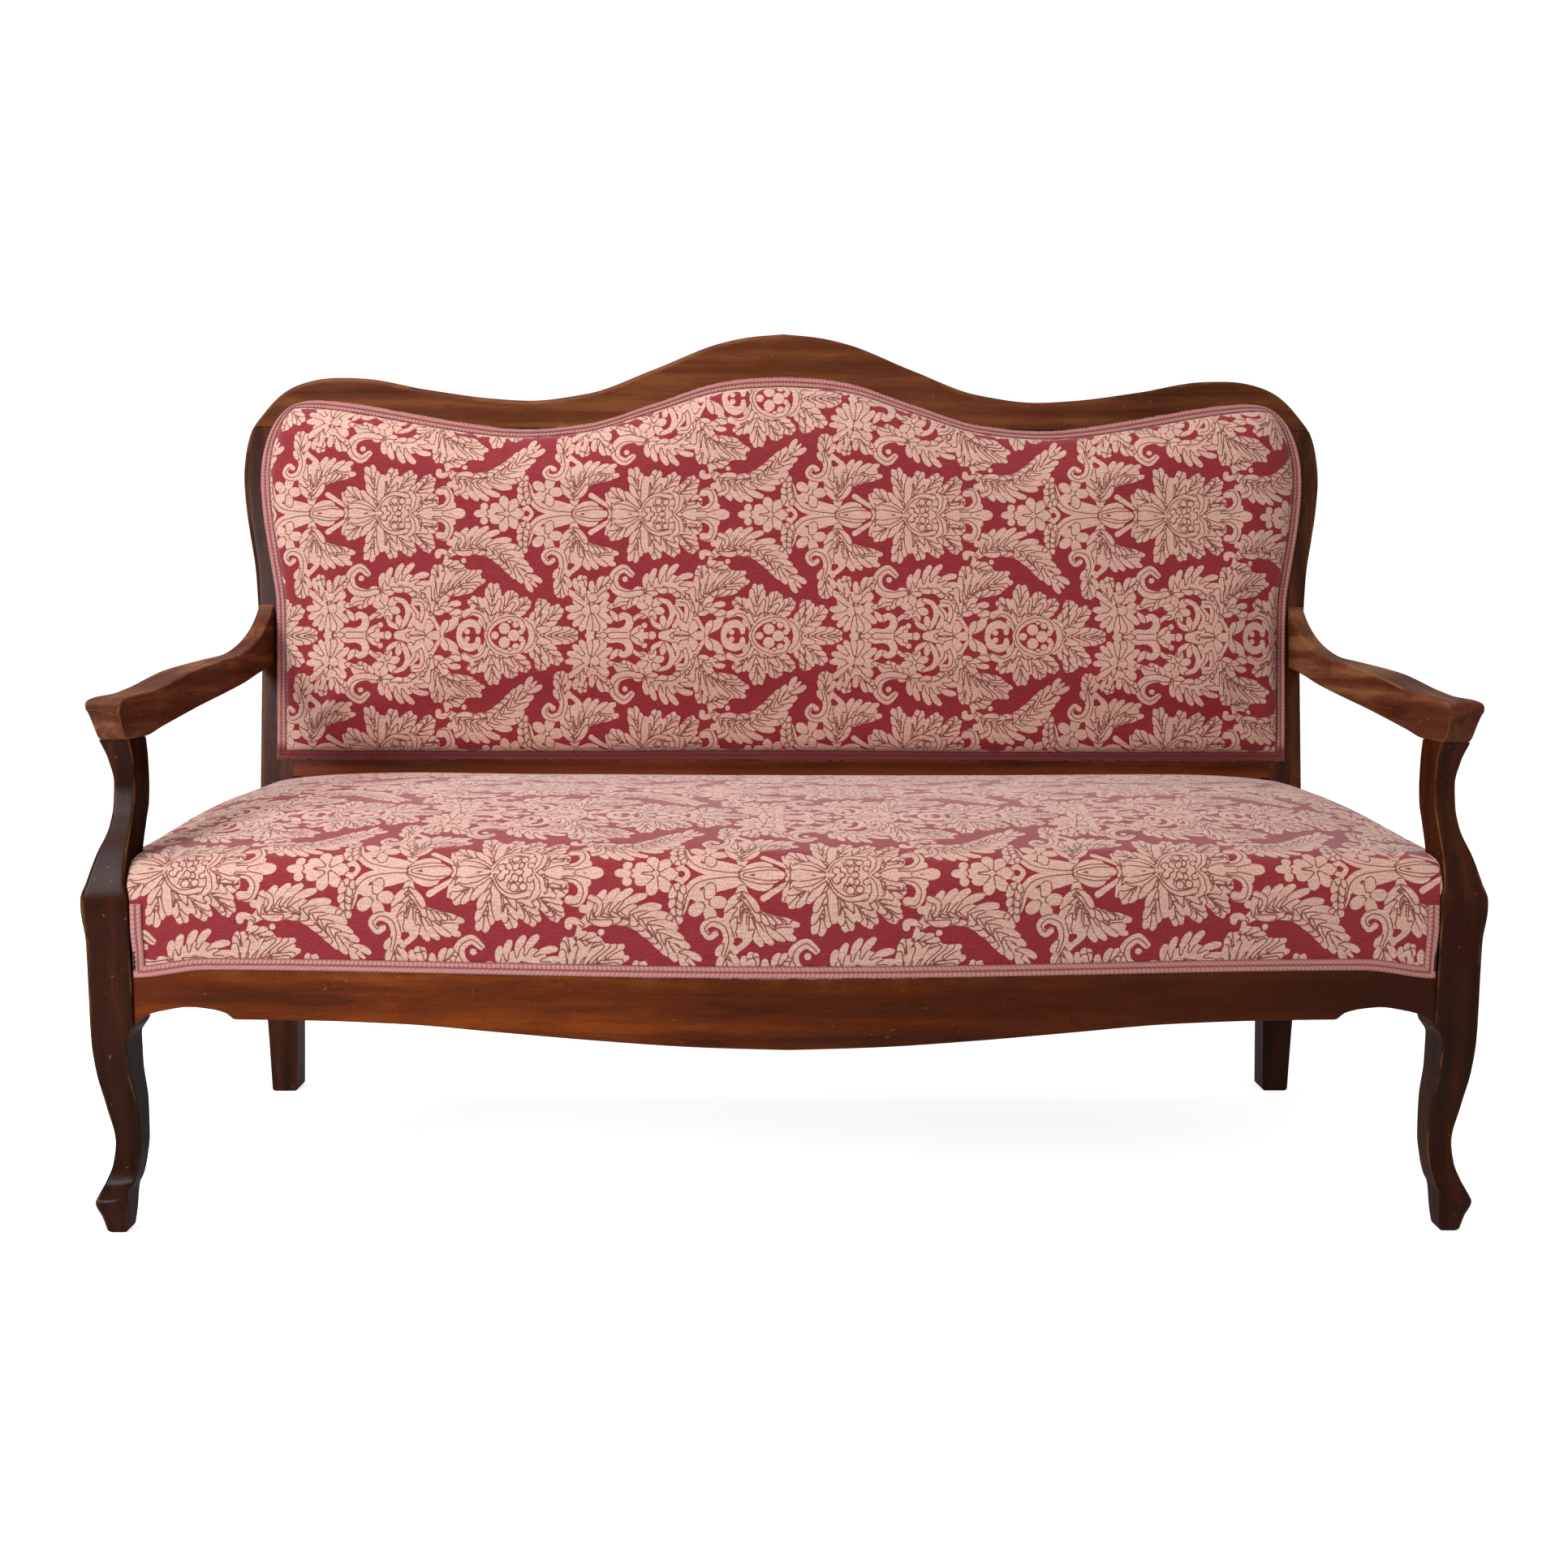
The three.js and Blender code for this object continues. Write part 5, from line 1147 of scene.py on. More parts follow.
backSettings = {"step": 1.85, "lift": 2.8, "motifAt": (-206.7, 869), "points": 3000, "held": 20, "most": 7,
                "moves": (18, 60), "lumps": 1.1, "lumpSeed": 5, "lumpSize": 40, "lumpy": (20, 70), "hem": 22}


def backMarks(across, up):
    # The pattern over the leaning back: distances from the motif's place along the cloth, over the pattern's scale
    x, z = backSettings["motifAt"]
    return {"leaves": pattern.field((across - x) / patternScale, (up - z / math.cos(d.lean)) / patternScale)}


def makeBack(s):
    def bothWays(half):
        # Places from -1 to 1 at even arc length over the roll, and the extra length that the roll gives each
        away = np.linspace(0, half, s["points"])
        (at, _), arc = evenly(np.stack([away, d.puff * rollUp(away)], 1), s["step"])
        place = np.concatenate([-(1 - at / half), (1 - at[-2::-1] / half)])
        length = np.concatenate([arc - arc[-1], (arc[-1] - arc[-2::-1])])
        return place, length - place * half
    u, extraAcross = bothWays(crestReach)
    w, extraUp = bothWays(panelHeight / 2)
    u, v = u[None], ((w + 1) / 2)[:, None]
    base = panelPoint(u, v, s["lift"] + backDepth(u, v))
    border = np.minimum((1 - np.abs(u)) * crestReach, (1 - np.abs(2 * v - 1)) * panelHeight / 2)
    moved = puffed("back", base, border < s["held"], s["most"], clothSettings) * smooth(border, *s["moves"])[..., None]
    outer = base + moved
    outer[..., 1] -= unevenness(border.shape, s["lumpSeed"], s["lumpSize"], s["lumps"]) * smooth(border, *s["lumpy"])
    lay = np.stack([base[..., 0] + extraAcross[None], base[..., 2] / math.cos(d.lean) + extraUp[:, None]], -1)
    inner = panelPoint(u, v, d.fit + backDepth(u, v)) + moved
    back = shellPiece("back_cover_cloth", outer, inner, backMarks(lay[..., 0], lay[..., 1]), lay / 1000)
    dress(back, damaskCloth, "damask", "back_cover")
    # The stuffing fills the cover down to the canvas, a hem inside its flat border
    r, c = (np.where(np.abs(2 * share.ravel() - 1) < 1 - 2 * s["hem"] / size)[0][::coarseStep]
            for share, size in ((v, panelHeight), ((u + 1) / 2, 2 * crestReach)))
    base = canvasSettings["webs"] + 3 * d.fit + canvasSettings["thick"]
    low = np.minimum(base, backDepth(u[:, c], v[r]) - 2 * d.fit)
    return inner[np.ix_(r, c)] + (0, d.fit, 0), panelPoint(u[:, c], v[r], low)


backPad = makeBack(backSettings)
print("back made")

# The seat: a crowned form with rolled edges, cut round the posts and stiles
rollShares = [[0, 0], [0, .13], [-.1, .4], [-.08, .66], [.2, .89], [.55, .975], [1, 1]]
rearRollShares = [[0, 0], [0, .86], [.4, .95], [1, 1]]
crown = track([[0, 0], [.12, .45], [.3, .85], [.55, 1], [.8, .85], [1, .55]])
seatRearEdge = d.seatBack - d.rebate - d.cloth
seatSettings = {"step": 1.95, "motifAt": (46, 436), "gap": .8, "swell": 5, "held": .1, "most": 8, "free": (14, 50),
                "rearFade": (-10, 40), "lumps": 1.4, "lumpSeed": 11, "lumpSize": 46, "points": 600,
                "full": (.08, .6), "crownPower": (3, 10), "sideStep": 1.5, "rearStep": 4, "foldFade": .6,
                "rearBand": 8, "follow": .1, "overRail": 6, "padGap": 1,
                "folds": [[802, 203, 690, 238, 4, 6], [802, 150, 715, 178, 2, 6]]}
clearSettings = {"tuck": .9, "rise": 15.5, "fade": 14}


def seatTop(x, y):
    # Height between the front's and the rear's, plus crown and swell, fuller towards the rear
    v = np.clip((y - frontAt(x)) / (seatRearEdge - frontAt(x)), 0, 1)
    u = np.minimum(np.abs(x) / sideAt(y), 1)
    full = smooth(v, *seatSettings["full"])
    rounded = 1 - u ** mix(*seatSettings["crownPower"], full)
    return mix(d.seatFront, d.seatRear, v) + d.seatCrown * rounded * crown(v) + seatSettings["swell"] * full * u ** 2


def rollProfile(shares, tall, step):
    # The roll's two shares as smooth tracks through its stations, then points at even arc length
    depth, height = through(shares, np.linspace(0, len(shares) - 1, seatSettings["points"]))
    (deep, high), _ = evenly(np.stack([depth * d.seatRoll, height * tall], 1), step)
    return deep, high / tall


def seatGrid(step):
    # Rows from the front's lower edge over its roll and back to the rear's; columns likewise from side to side. The
    # height at a point is the smaller of the two rolls' shares.
    tall = d.seatFront - d.coverEdge
    deep, high = rollProfile(rollShares, tall, step)
    sideDeep, sideHigh = rollProfile(rollShares, tall, step * seatSettings["sideStep"])
    rearDeep, rearHigh = rollProfile(rearRollShares, tall, step * seatSettings["rearStep"])
    wide, long = wholeSteps(2 * (d.half - d.seatRoll), step), wholeSteps(d.seatDepth - d.seatRoll, step)
    inner = np.linspace(-1, 1, wide + 1)[1:-1]
    side = np.concatenate([-np.ones(len(sideDeep)), inner, np.ones(len(sideDeep))])
    acrossIn = np.concatenate([sideDeep, np.full(len(inner), d.seatRoll), sideDeep[::-1]])
    acrossHigh = np.concatenate([sideHigh, np.ones(len(inner)), sideHigh[::-1]])
    middle = np.linspace(0, 1, long + 1)[1:-1]
    share = np.concatenate([np.zeros(len(deep)), middle, np.ones(len(rearDeep))])[:, None]
    offset = np.concatenate([deep, d.seatRoll * (1 - 2 * middle), -rearDeep[::-1]])[:, None]
    alongHigh = np.concatenate([high, np.ones(len(middle)), rearHigh[::-1]])[:, None]
    x = side * (sideAt(mix(d.setback, seatRearEdge, share) + offset) - acrossIn)
    y = mix(frontAt(x), seatRearEdge, share) + offset
    z = mix(d.coverEdge, seatTop(x, y), np.minimum(acrossHigh, alongHigh))
    return np.stack([x, y, z], -1)


def keepClear(points, gap):
    # A point within a post's or stile's outline goes to its nearest face, and down it by as much; posts reach
    # backwards from the front, stiles forwards from the rear
    s = clearSettings
    x, y, z = np.abs(points[..., 0]), points[..., 1].copy(), points[..., 2].copy()
    for inner, way in ((postInner, 1), (stileInner, -1)) * 2:
        inX = x - (d.half - inner(z)) + gap
        inY = postRear(z) + gap - y if way > 0 else y - d.seatDepth + gap
        hit = (inX > 0) & (inY > 0)
        byX = hit & (inX < inY)
        tuck = np.where(hit, np.minimum(inX, inY), 0)
        x, y = np.where(byX, x - inX, x), np.where(hit & ~byX, y + way * inY, y)
        z = np.maximum(z - tuck * s["tuck"], np.minimum(z, d.coverEdge))
    low = d.seatRear + s["rise"]
    z = np.where(z > low, mix(low, z, smooth(d.seatDepth - y, 0, s["fade"])), z)
    return np.stack([x * np.sign(points[..., 0]), y, z], -1)


def pullFolds(points, folds):
    # Each fold is a groove from the seat's side inwards: depth times e to the minus square of distance over width
    x, y = np.abs(points[..., 0]), points[..., 1]
    total = np.zeros_like(x)
    for ax, ay, bx, by, depth, width in folds:
        t = ((x - ax) * (bx - ax) + (y - ay) * (by - ay)) / ((bx - ax) ** 2 + (by - ay) ** 2)
        t = np.clip(t, 0, 1)
        away = np.hypot(x - ax - t * (bx - ax), y - ay - t * (by - ay))
        total = total + depth * np.exp(-(away / width) ** 2) * smooth(1 - t, 0, seatSettings["foldFade"])
    return total


def makeSeat(s):
    grid = seatGrid(s["step"])
    rows, columns = ((size - 1) // coarseStep * coarseStep + 1 for size in grid.shape[:2])
    rowAt, columnAt = np.linspace(0, grid.shape[0] - 1, rows), np.linspace(0, grid.shape[1] - 1, columns)
    r, c = np.minimum(rowAt.astype(int), grid.shape[0] - 2), np.minimum(columnAt.astype(int), grid.shape[1] - 2)
    grid = mix(grid[r], grid[r + 1], (rowAt - r)[:, None, None])
    grid = mix(grid[:, c], grid[:, c + 1], (columnAt - c)[None, :, None])
    free = smooth(grid[..., 2] - d.coverEdge, *s["free"]) * smooth(d.seatDepth - grid[..., 1], *s["rearFade"])
    moved = puffed("seat", grid, free <= s["held"], s["most"], clothSettings) * free[..., None]
    outer = grid + moved
    outer[..., 2] += (unevenness(free.shape, s["lumpSeed"], s["lumpSize"], s["lumps"])
                      - pullFolds(outer, s["folds"])) * free
    # Arc lengths across and along give the cloth its coordinates: straight from the rear edge forwards
    along = np.concatenate([np.zeros((1, columns)), np.cumsum(np.linalg.norm(np.diff(grid, axis=0), axis=-1), 0)])
    middle = grid[:, columns // 2]
    rearRow = np.argmax(middle[:, 1] > d.seatDepth - s["rearBand"])
    along = along - along[rearRow][None]
    across = np.concatenate([np.zeros((rows, 1)), np.cumsum(np.linalg.norm(np.diff(grid, axis=1), axis=-1), 1)], 1)
    across = across - across[:, columns // 2][:, None]
    lay = np.stack([across, along], -1)
    outer = keepClear(outer, s["gap"])
    # The motif's height on the front follows the front edge there, and the middle line's towards the rear
    third, motifX, motifZ = rearRow // 3, *s["motifAt"]
    axis = np.interp(motifZ, middle[:third, 2], along[:third, columns // 2])
    front = np.stack([np.interp(motifZ, line[:, 2], arc)
                      for line, arc in zip(grid[:third].swapaxes(0, 1), along[:third].T)])
    flat = (np.abs(grid[rearRow // 2, :, 0]) < d.half - 2 * d.seatRoll)
    front = np.interp(np.arange(columns), np.arange(columns)[flat], front[flat])
    follow = 1 - smooth((grid[..., 1] - d.setback) / (d.seatDepth - d.setback), s["follow"], 1)
    axis = mix(axis, front[None], follow)
    marks = {"leaves": pattern.field((across - motifX) / patternScale, (along - axis) / patternScale)}
    normal = np.cross(np.gradient(grid, axis=1), np.gradient(grid, axis=0))
    normal /= np.maximum(np.linalg.norm(normal, axis=-1, keepdims=True), 1e-9)
    inner = keepClear(grid + moved - normal * d.cloth, s["gap"] + d.cloth)
    seat = shellPiece("seat_cover_cloth", outer, inner, marks, lay / 1000)
    dress(seat, damaskCloth, "damask", "seat_cover")
    # The stuffing fills the cover down to the canvas and the tops of the rails
    r, c = (np.where(line > d.railTop + s["overRail"])[0][::coarseStep] for line in (middle[:, 2], grid[rows // 2, :, 2]))
    top = keepClear((grid + moved - normal * (d.cloth + d.fit))[np.ix_(r, c)], s["gap"] + d.cloth + s["padGap"])
    low = np.minimum(canvasAt(top[..., 0], top[..., 1]) + canvasSettings["thick"] + d.fit, top[..., 2] - 1)
    return top, np.concatenate([top[..., :2], low[..., None]], -1)


def canvasAt(x, y):
    # Flat on the rails, and a smooth ramp inside them up to the tops of the springs
    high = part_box("spring_canvas")[1].z * 1000 - canvasSettings["thick"]
    inside = smooth(sideAt(y) - d.railThickness - np.abs(x), 0, canvasSettings["ramp"])
    inside = inside * smooth(y - frontAt(x) - d.railThickness, 0, canvasSettings["ramp"])
    inside = inside * smooth(d.seatBack - d.railThickness - y, 0, canvasSettings["ramp"])
    return mix(d.railTop + d.fit, high, inside)


seatPad = makeSeat(seatSettings)
print("seat made")

# Under the covers: canvases, webbing, springs and stuffing
plainCloth = {"jute": (colour(150, 124, 84), colour(186, 160, 116), 420), "canvas": (colour(166, 146, 110),
              colour(200, 182, 146), 640), "cambric": (colour(30, 27, 26), colour(52, 48, 46), 900),
              "hair": (colour(150, 132, 104), colour(214, 200, 172), 160)}


def makePlainCloth(name, dark, light, threads):
    # Woven in the object's own coordinates: warp along Y, weft along X, slubs and dust over both
    material, tree, shader = makeMaterial(name, Roughness=.92, Specular_IOR_Level=.2)
    spot = objectSpot(tree)
    ribs = weaveOver(tree, spot, threads)["Ribs"]
    dust = noise(tree, spot, 14, 5)
    tone = plus(tree, times(tree, ribs, .5), times(tree, dust, .5))
    tree.links.new(blendColours(tree, tone, dark, light), shader.inputs["Base Color"])
    setNormal(tree, shader, ribs, .0006)
    return material


cloths = {name: makePlainCloth(name, *s) for name, s in plainCloth.items()}


def makeSteel():
    # Bright steel with rust where noise is high
    material, tree, shader = makeMaterial("springSteel", Metallic=.9)
    spot = objectSpot(tree)
    rust = noise(tree, spot, 60, 4)
    share = ramp(tree, rust, .45, .7)
    tree.links.new(blendColours(tree, share, colour(128, 130, 132), colour(92, 62, 44)), shader.inputs["Base Color"])
    tree.links.new(plus(tree, .35, times(tree, share, .35)), shader.inputs["Roughness"])
    return material


def finishNodes():
    # The carried-over solids keep their shapes and take these finishes
    steel = makeSteel()
    finishes = {"rear_seat_rail": frameWood, "back_upright": frameWood, "lower_back_rail": lowerWood}
    for name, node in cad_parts.items():
        if name.startswith("corner_block"):
            finishes[name] = frameWood
        elif name.startswith(("seat_web", "back_web")):
            finishes[name] = cloths["jute"]
        elif name.startswith("seat_spring"):
            finishes[name] = steel
        if name in finishes:
            node.material_slots[0].material = finishes[name]


finishNodes()


def closedSheet(name, top, under, finish, slot, node):
    # Two grids of equal size joined along their four borders
    rows, columns = top.shape[:2]
    edge = borderOf(rows, columns)
    after = np.roll(edge, -1)
    rim = np.stack([edge, edge + rows * columns, after + rows * columns, after], 1)
    points = np.concatenate([top.reshape(-1, 3), under.reshape(-1, 3)])
    quads = np.concatenate([gridFaces(rows, columns), gridFaces(rows, columns, first=rows * columns)[:, ::-1], rim])
    return dress(makePiece(name, points, outward(points, [quads])), finish, slot, node)


for place, pad in (("seat", seatPad), ("back", backPad)):
    closedSheet(f"{place}_stuffing_hair", *pad, cloths["hair"], "stuffing", f"{place}_stuffing")

sheetSettings = {"margin": 12, "seatGrid": (121, 61), "backGrid": (161, 81), "outerBack": (393, 233), "dust": 1,
                 "dustGap": 2, "upright": .2}


def makeSheets(s):
    columns, rows = s["seatGrid"]
    u, v = np.linspace(-1, 1, columns)[None], np.linspace(0, 1, rows)[:, None]
    thick = canvasSettings["thick"]

    def seatPlan(inset):
        # Places over the seat frame, inset from its outline and clear of posts and stiles
        x = u * (sideAt(mix(d.setback, d.seatBack, v)) - inset)
        y = mix(frontAt(x) + inset, d.seatBack - inset, v)
        plan = keepClear(np.stack([x, y, 0 * x + d.railTop], -1), 1)
        return plan[..., 0], plan[..., 1]
    x, y = seatPlan(s["margin"])
    under = np.stack([x, y, canvasAt(x, y)], -1)
    canvas = closedSheet("spring_canvas_cloth", under + (0, 0, thick), under, cloths["canvas"], "jute",
                         "spring_canvas")

    x, y = seatPlan(d.lip + s["dustGap"])
    under = np.stack([x, y, 0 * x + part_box("dust_cover")[0].z * 1000], -1)
    dust = closedSheet("dust_cover_cloth", under + (0, 0, s["dust"]), under, cloths["cambric"], "dust_cloth",
                       "dust_cover")

    hem, (columns, rows) = d.flange + s["margin"], s["backGrid"]
    u = np.linspace(-1 + hem / crestReach, 1 - hem / crestReach, columns)[None]
    v = np.linspace(hem / panelHeight, 1 - hem / panelHeight, rows)[:, None]
    low = canvasSettings["webs"] + 2 * d.fit
    canvas = closedSheet("back_canvas_cloth", panelPoint(u, v, low + thick), panelPoint(u, v, low),
                         cloths["canvas"], "jute", "back_canvas")

    columns, rows = s["outerBack"]
    u, v = np.linspace(-1, 1, columns)[None], np.linspace(0, 1, rows)[:, None]
    under = outerBack(u, v, 0)
    lay = np.stack([under[..., 0], under[..., 2] / math.cos(d.lean)], -1)
    back = shellPiece("outer_back_damask", outerBack(u, v, thick), under, backMarks(lay[..., 0], lay[..., 1]),
                      lay / 1000)
    dress(back, damaskCloth, "damask", "outer_back_cloth")


def outerBack(u, v, lift):
    # Upright at the seat, then leaning with the back's rear face; x follows the upholstered panel's half width
    u, v = np.broadcast_arrays(u, v)
    top = panelTop(np.abs(u) * panelSide(1.0))
    share = sheetSettings["upright"]
    below = mix(d.rearLow + d.gimpWidth, d.leanStart, v / share)
    z = np.where(v < share, below, mix(d.leanStart, top, (v - share) / (1 - share)))
    x = u * panelSide((z - d.panelBottom) / (top - d.panelBottom))
    return np.stack([x, rearFace(z) + d.fit + lift, z], -1)


makeSheets(sheetSettings)
print("sheets made")

# Gimp: a braid with two humps and a groove between them
gimpSettings = {"pitch": 5.4, "step": 1.7, "hump": 2.3, "edge": .7, "across": 13, "upper": 396,
                "pale": colour(200, 143, 135), "dark": colour(138, 64, 63), "threads": 1400,
                "paintedLowShade": (colour(104, 28, 28), .9), "rearTop": 1100, "border": 900, "ends": 60, "run": 1200,
                "sides": 300, "inset": 1.2, "dip": (9.5, 672), "sink": (1.2, 500), "power": .7, "plait": .28,
                "leaning": 1.3, "rearInset": .5, "sunk": .2}


def makeBraidMaterial(s):
    material, tree, shader = makeMaterial("braid", Roughness=.8, Sheen_Weight=.25, Sheen_Roughness=.4,
                                          Specular_IOR_Level=.3)
    ridge = addNode(tree, "ShaderNodeAttribute", attribute_name="ridge").outputs["Fac"]
    lay = addNode(tree, "ShaderNodeUVMap", uv_map="lay").outputs[0]
    woven = weaveOver(tree, lay, s["threads"])
    # The braid's colour follows its relief: pale on the humps, dark where it is low, in the groove and the hollows of
    # the plait. This is partly the braid's own darker groove and partly painted shade in its hollows.
    tone = times(tree, plus(tree, ridge, times(tree, woven["Slub"], .35)), .85)
    braided = blendColours(tree, ramp(tree, tone, .12, 1), s["dark"], s["pale"])
    # The run along the back's lower edge is darkened by painted shade where it lies between the seat and the back:
    # from the seat to a little above that edge
    height = addNode(tree, "ShaderNodeSeparateXYZ", {0: objectSpot(tree)}).outputs[2]
    edge = (d.panelBottom + d.gimpWidth) / 1000
    paintedLowShade = times(tree, ramp(tree, height, edge + .016, edge), ramp(tree, height, edge - .05, edge - .03))
    braided = blendColours(tree, times(tree, paintedLowShade, s["paintedLowShade"][1]), braided, s["paintedLowShade"][0])
    tree.links.new(braided, shader.inputs["Base Color"])
    setNormal(tree, shader, woven["Ribs"], .0004)
    return material


braid = makeBraidMaterial(gimpSettings)


def makeGimp(name, edges, away, node, s, loop=False):
    # Height over the base is two humps, |sin(2 pi q)| to a power, times a plait that leans with q; q runs
    # from edge to edge. Both ends are closed, or the band runs round.
    one, other = edges
    middle = (one + other) / 2
    arc = np.append(0, np.cumsum(np.linalg.norm(np.diff(middle, axis=0), axis=1)))
    count = int(arc[-1] / s["step"])
    at = np.linspace(0, arc[-1], count + 1)[:count + (0 if loop else 1)]
    one, other, away = (np.stack([np.interp(at, arc, axis) for axis in table.T], 1) for table in (one, other, away))
    away = away / np.linalg.norm(away, axis=1, keepdims=True)
    q = np.linspace(0, 1, s["across"])[None]
    hump = np.abs(np.sin(2 * math.pi * q)) ** s["power"]
    period = arc[-1] / max(round(arc[-1] / s["pitch"]), 1)
    wave = np.cos(2 * math.pi * (at[:, None] / period + s["leaning"] * np.abs(q - .5)))
    plait = 1 - s["plait"] + s["plait"] * wave
    ridge = hump * plait
    height = s["edge"] + s["hump"] * ridge
    top = one[:, None] + (other - one)[:, None] * q[..., None] + away[:, None] * height[..., None]
    under = np.stack([other, one], 1)
    rings = np.concatenate([top, under], 1)
    ridge = np.concatenate([ridge, np.zeros((len(at), 2))], 1)
    rows, columns = rings.shape[:2]
    faces = [gridFaces(rows, columns, True)]
    if loop:
        first, last = np.arange(columns), np.arange(columns) + (rows - 1) * columns
        faces[0] = np.concatenate([faces[0], np.stack([last, np.roll(last, -1), np.roll(first, -1), first], 1)])
    else:
        faces += [np.arange(columns)[None, ::-1], np.arange(columns)[None] + (rows - 1) * columns]
    lay = np.stack([np.broadcast_to(at[:, None], (rows, columns)),
                    np.broadcast_to(np.append(q[0], [1, 0])[None] * d.gimpWidth, (rows, columns))], -1) / 1000
    band = makePiece(name, rings, outward(rings, faces), {"ridge": ridge}, lay, sharpFrom=75)
    dress(band, braid, "gimp", node)


def loopPlaces(count):
    # Once round the border: along the lower edge, up the right, back along the top and down the left
    run = np.linspace(-1, 1, count, endpoint=False)
    rise = np.linspace(0, 1, count // 2, endpoint=False)
    u = np.concatenate([run, np.ones(count // 2), -run, -np.ones(count // 2)])
    v = np.concatenate([0 * run, rise, 0 * run + 1, 1 - rise])
    return u, v


def closeLoop(table):
    # The table with its first row once more at its end
    return np.concatenate([table, table[:1]])


def makeGimps(s):
    u, v = loopPlaces(s["border"])
    gap = (d.flange - d.gimpWidth) / 2

    def inward(distance, lift):
        return panelPoint(np.clip(u, -1 + distance / crestReach, 1 - distance / crestReach),
                          np.clip(v, distance / panelHeight, 1 - distance / panelHeight), lift)
    lift = backSettings["lift"] + d.fit
    outer, inner = inward(gap, lift), inward(d.flange - gap, lift)
    away = np.tile([0.0, -1.0, 0.0], (len(u) + 1, 1))
    makeGimp("back_gimp_braid", (closeLoop(outer), closeLoop(inner)), away, "back_gimp", s, True)

    tall = s["rearTop"] - d.rearLow - d.gimpWidth

    def behind(distance):
        return outerBack(np.clip(u, -1 + distance / crestReach, 1 - distance / crestReach),
                         np.clip(v, distance / tall, 1 - distance / tall), canvasSettings["thick"] + d.fit)
    makeGimp("outer_back_gimp", (closeLoop(behind(s["rearInset"])), closeLoop(behind(d.gimpWidth + s["rearInset"]))),
             -away, None, s, True)

    # Front: down beside one post, along the apron with a dip at both ends, and up beside the other post
    ends, gap = s["ends"], postInnerX - s["inset"]
    rise, run = np.linspace(1, 0, ends), np.linspace(-1, 1, s["run"])

    def front(side, low):
        x = np.concatenate([-side + 0 * rise, run * side, side + 0 * rise])
        z = low(np.abs(x)) * np.ones_like(x)
        z[:ends] = mix(z[ends], s["upper"], rise)
        z[-ends:] = mix(z[-ends - 1], s["upper"], rise[::-1])
        y = frontAt(x) + coverDepth(z) - d.fit - s["sunk"]
        return np.stack([x, np.minimum(y, frontAt(x) - d.fit), z], 1)

    def dip(x):
        (depth, start), (sink, reach) = s["dip"], s["sink"]
        return d.coverEdge - d.fit - depth * smooth(x, start, gap) - sink * smooth(x, 0, reach) + sink
    edges = front(gap, dip), front(gap - d.gimpWidth, lambda x: dip(x) + d.gimpWidth)
    makeGimp("seat_gimp_front_braid", edges, np.tile([0.0, -1.0, 0.0], (len(edges[0]), 1)), "seat_gimp_front", s)
    y = np.linspace(postRearY + s["inset"], d.seatDepth - 1, s["sides"])
    for side, sign in (("right", 1), ("left", -1)):
        x = (sideAt(y) + d.fit) * sign
        low, high = (np.stack([x, y, 0 * y + z], 1) for z in (d.coverEdge - d.fit, d.coverEdge + d.gimpWidth))
        makeGimp(f"seat_gimp_{side}_braid", (low, high), np.tile([float(sign), 0, 0], (len(y), 1)),
                 f"seat_gimp_{side}", s)


def coverDepth(z):
    # How far the front of the cover stands in from the edge, by height; negative where it bulges
    share = (z - d.coverEdge) / (d.seatFront - d.coverEdge)
    return np.interp(share, rollHeights, rollDepths * d.seatRoll)


rollDepths, rollHeights = through(rollShares, np.linspace(0, 4, 60))
makeGimps(gimpSettings)
print("gimps made")

# Floor, backdrop and light
stageSettings = {"floor": 30, "curve": 4, "tone": colour(236, 236, 236), "glow": .8}


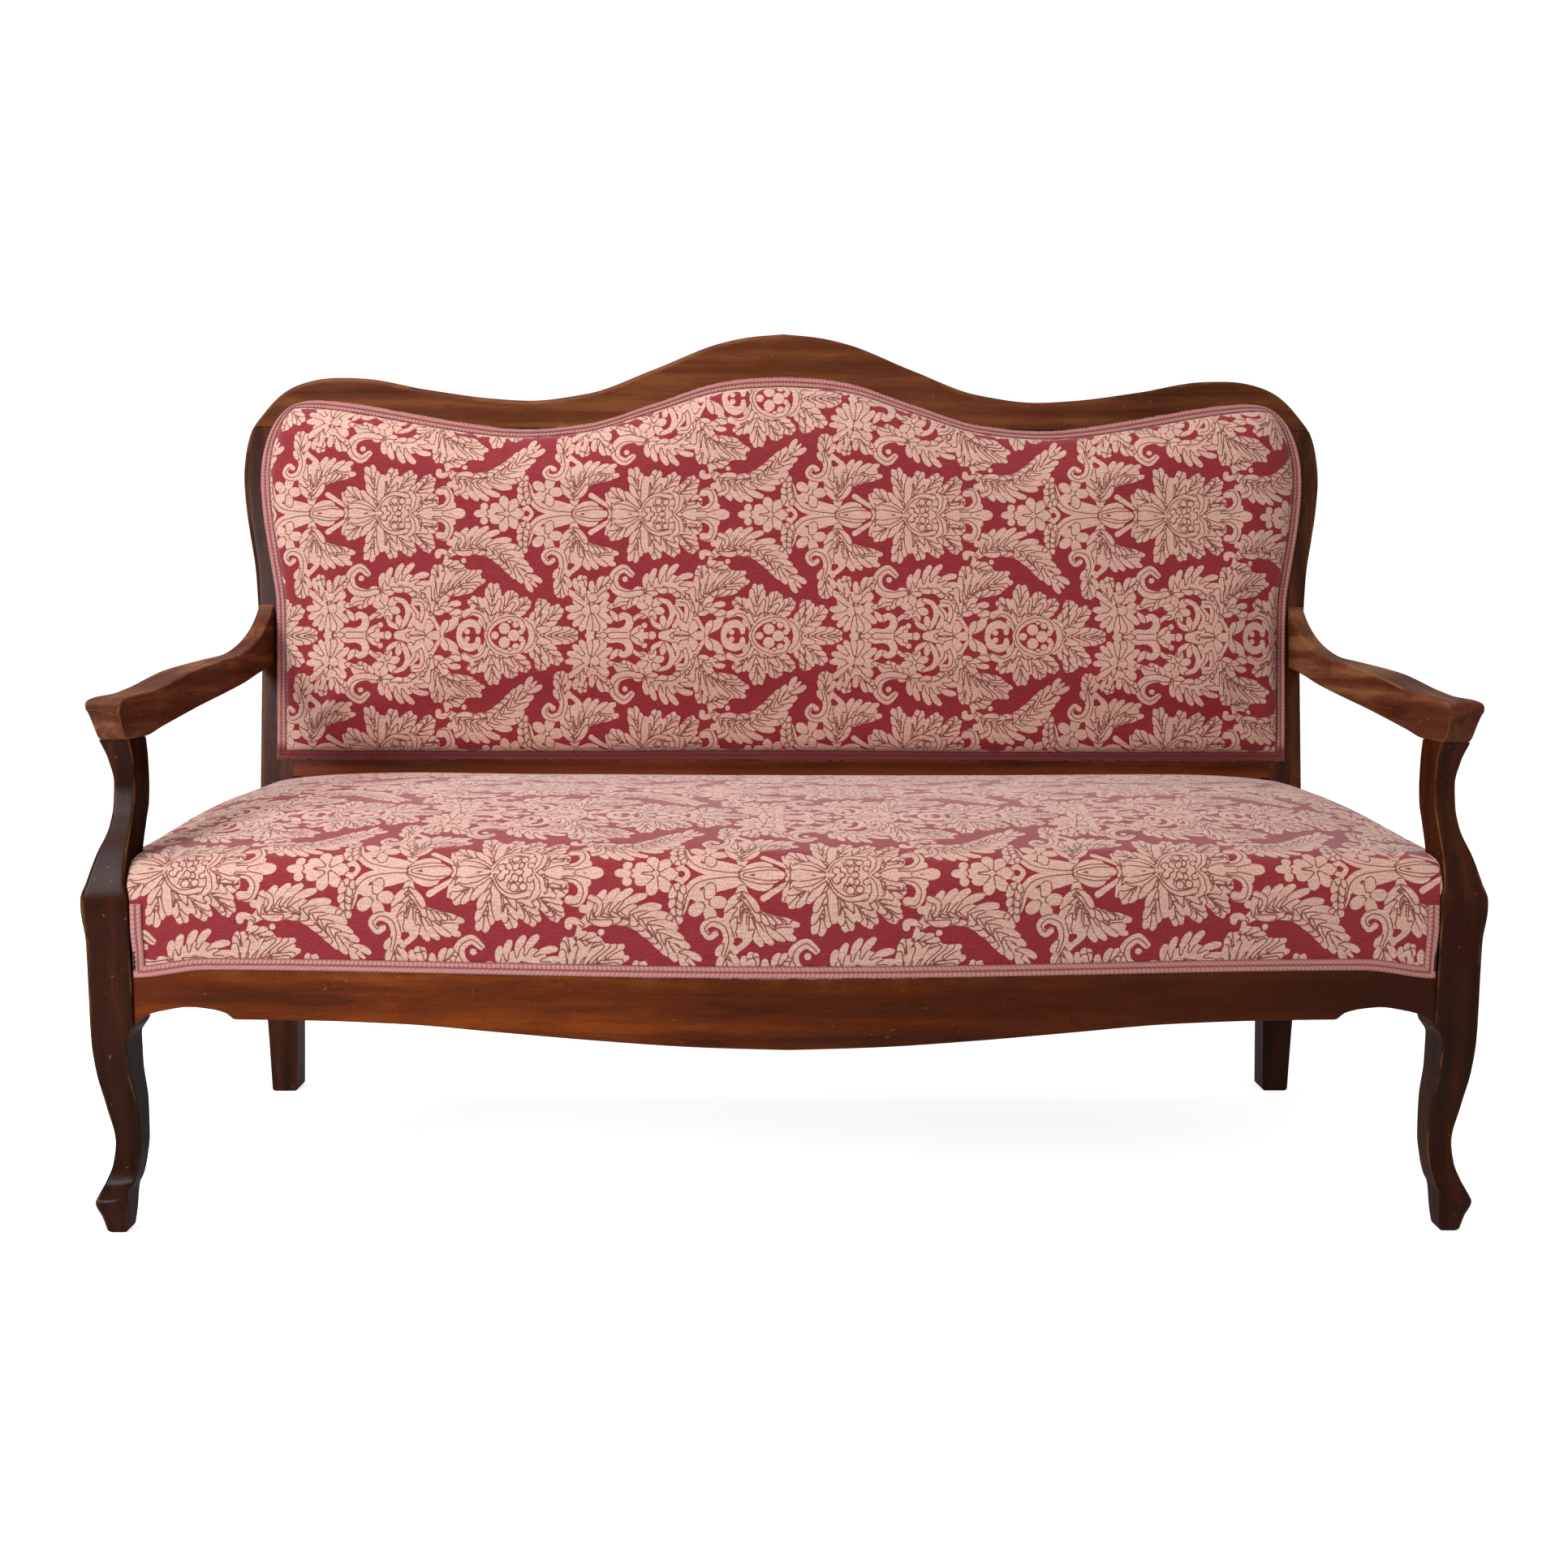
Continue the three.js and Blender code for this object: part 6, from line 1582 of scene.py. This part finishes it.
def makeStage(s):
    # Floor and wall are one sheet: flat, then a quarter circle, then upright
    turn = np.linspace(0, math.pi / 2, 24)
    profile = [(-s["floor"] / 2, 0), (s["curve"], 0)]
    profile += [(s["curve"] + s["curve"] * math.sin(a), s["curve"] * (1 - math.cos(a))) for a in turn[1:]]
    profile.append((2 * s["curve"], s["floor"] / 2))
    profile = np.array(profile)
    x = np.array([-s["floor"] / 2, s["floor"] / 2])
    points = np.stack([np.broadcast_to(x[None], (len(profile), 2)), np.broadcast_to(profile[:, :1], (len(profile), 2)),
                       np.broadcast_to(profile[:, 1:], (len(profile), 2))], -1) * 1000
    points[..., 1] -= kneeLine * 1000
    floor = makePiece("floor", points, [gridFaces(len(profile), 2)[:, ::-1]])
    material, tree, shader = makeMaterial("paleFloor", Base_Color=s["tone"], Roughness=.9)
    seen = seenDirectly(tree)
    shader.inputs["Emission Color"].default_value = (1, 1, 1, 1)
    tree.links.new(times(tree, seen, s["glow"]), shader.inputs["Emission Strength"])
    floor.data.materials.append(material)


makeStage(stageSettings)

lampSettings = {
    "key": {"place": (-1.85, -2.1, 1.35), "aim": (0, 0, .5), "size": .9, "power": 52, "tint": (.87, .94, 1)},
    "fill": {"place": (2.6, -2.6, 1.6), "aim": (0, 0, .5), "size": 2.6, "power": 13, "tint": (1, .9, .76)},
    "over": {"place": (-1.2, -.2, 3.1), "aim": (0, 0, .5), "size": 2.2, "power": 70, "tint": (.97, .98, 1)},
}


def makeLamps(lamps):
    # Round area lamps at their places, turned to their aims
    for name, s in lamps.items():
        lamp = bpy.data.lights.new(name, "AREA")
        lamp.shape, lamp.size, lamp.energy, lamp.color = "DISK", s["size"], s["power"], s["tint"]
        holder = bpy.data.objects.new(name, lamp)
        scene.collection.objects.link(holder)
        place = Vector(s["place"])
        turn = (place - Vector(s["aim"])).to_track_quat("Z", "Y").to_matrix().to_4x4()
        holder.matrix_world = Matrix.Translation(place) @ turn


makeLamps(lampSettings)


worldSettings = {"dim": .31, "shade": (1, .94, .86, 1)}


def makeWorld(s):
    world = bpy.data.worlds.new("studio")
    world.use_nodes = True
    scene.world = world
    tree = world.node_tree
    seen = seenDirectly(tree)
    strength = plus(tree, s["dim"], times(tree, seen, 1 - s["dim"]))
    tree.links.new(strength, tree.nodes["Background"].inputs["Strength"])
    shade = blendColours(tree, seen, s["shade"], (1, 1, 1, 1))
    tree.links.new(shade, tree.nodes["Background"].inputs["Color"])


makeWorld(worldSettings)
scene.view_settings.view_transform = "Standard"
print("stage and light made")
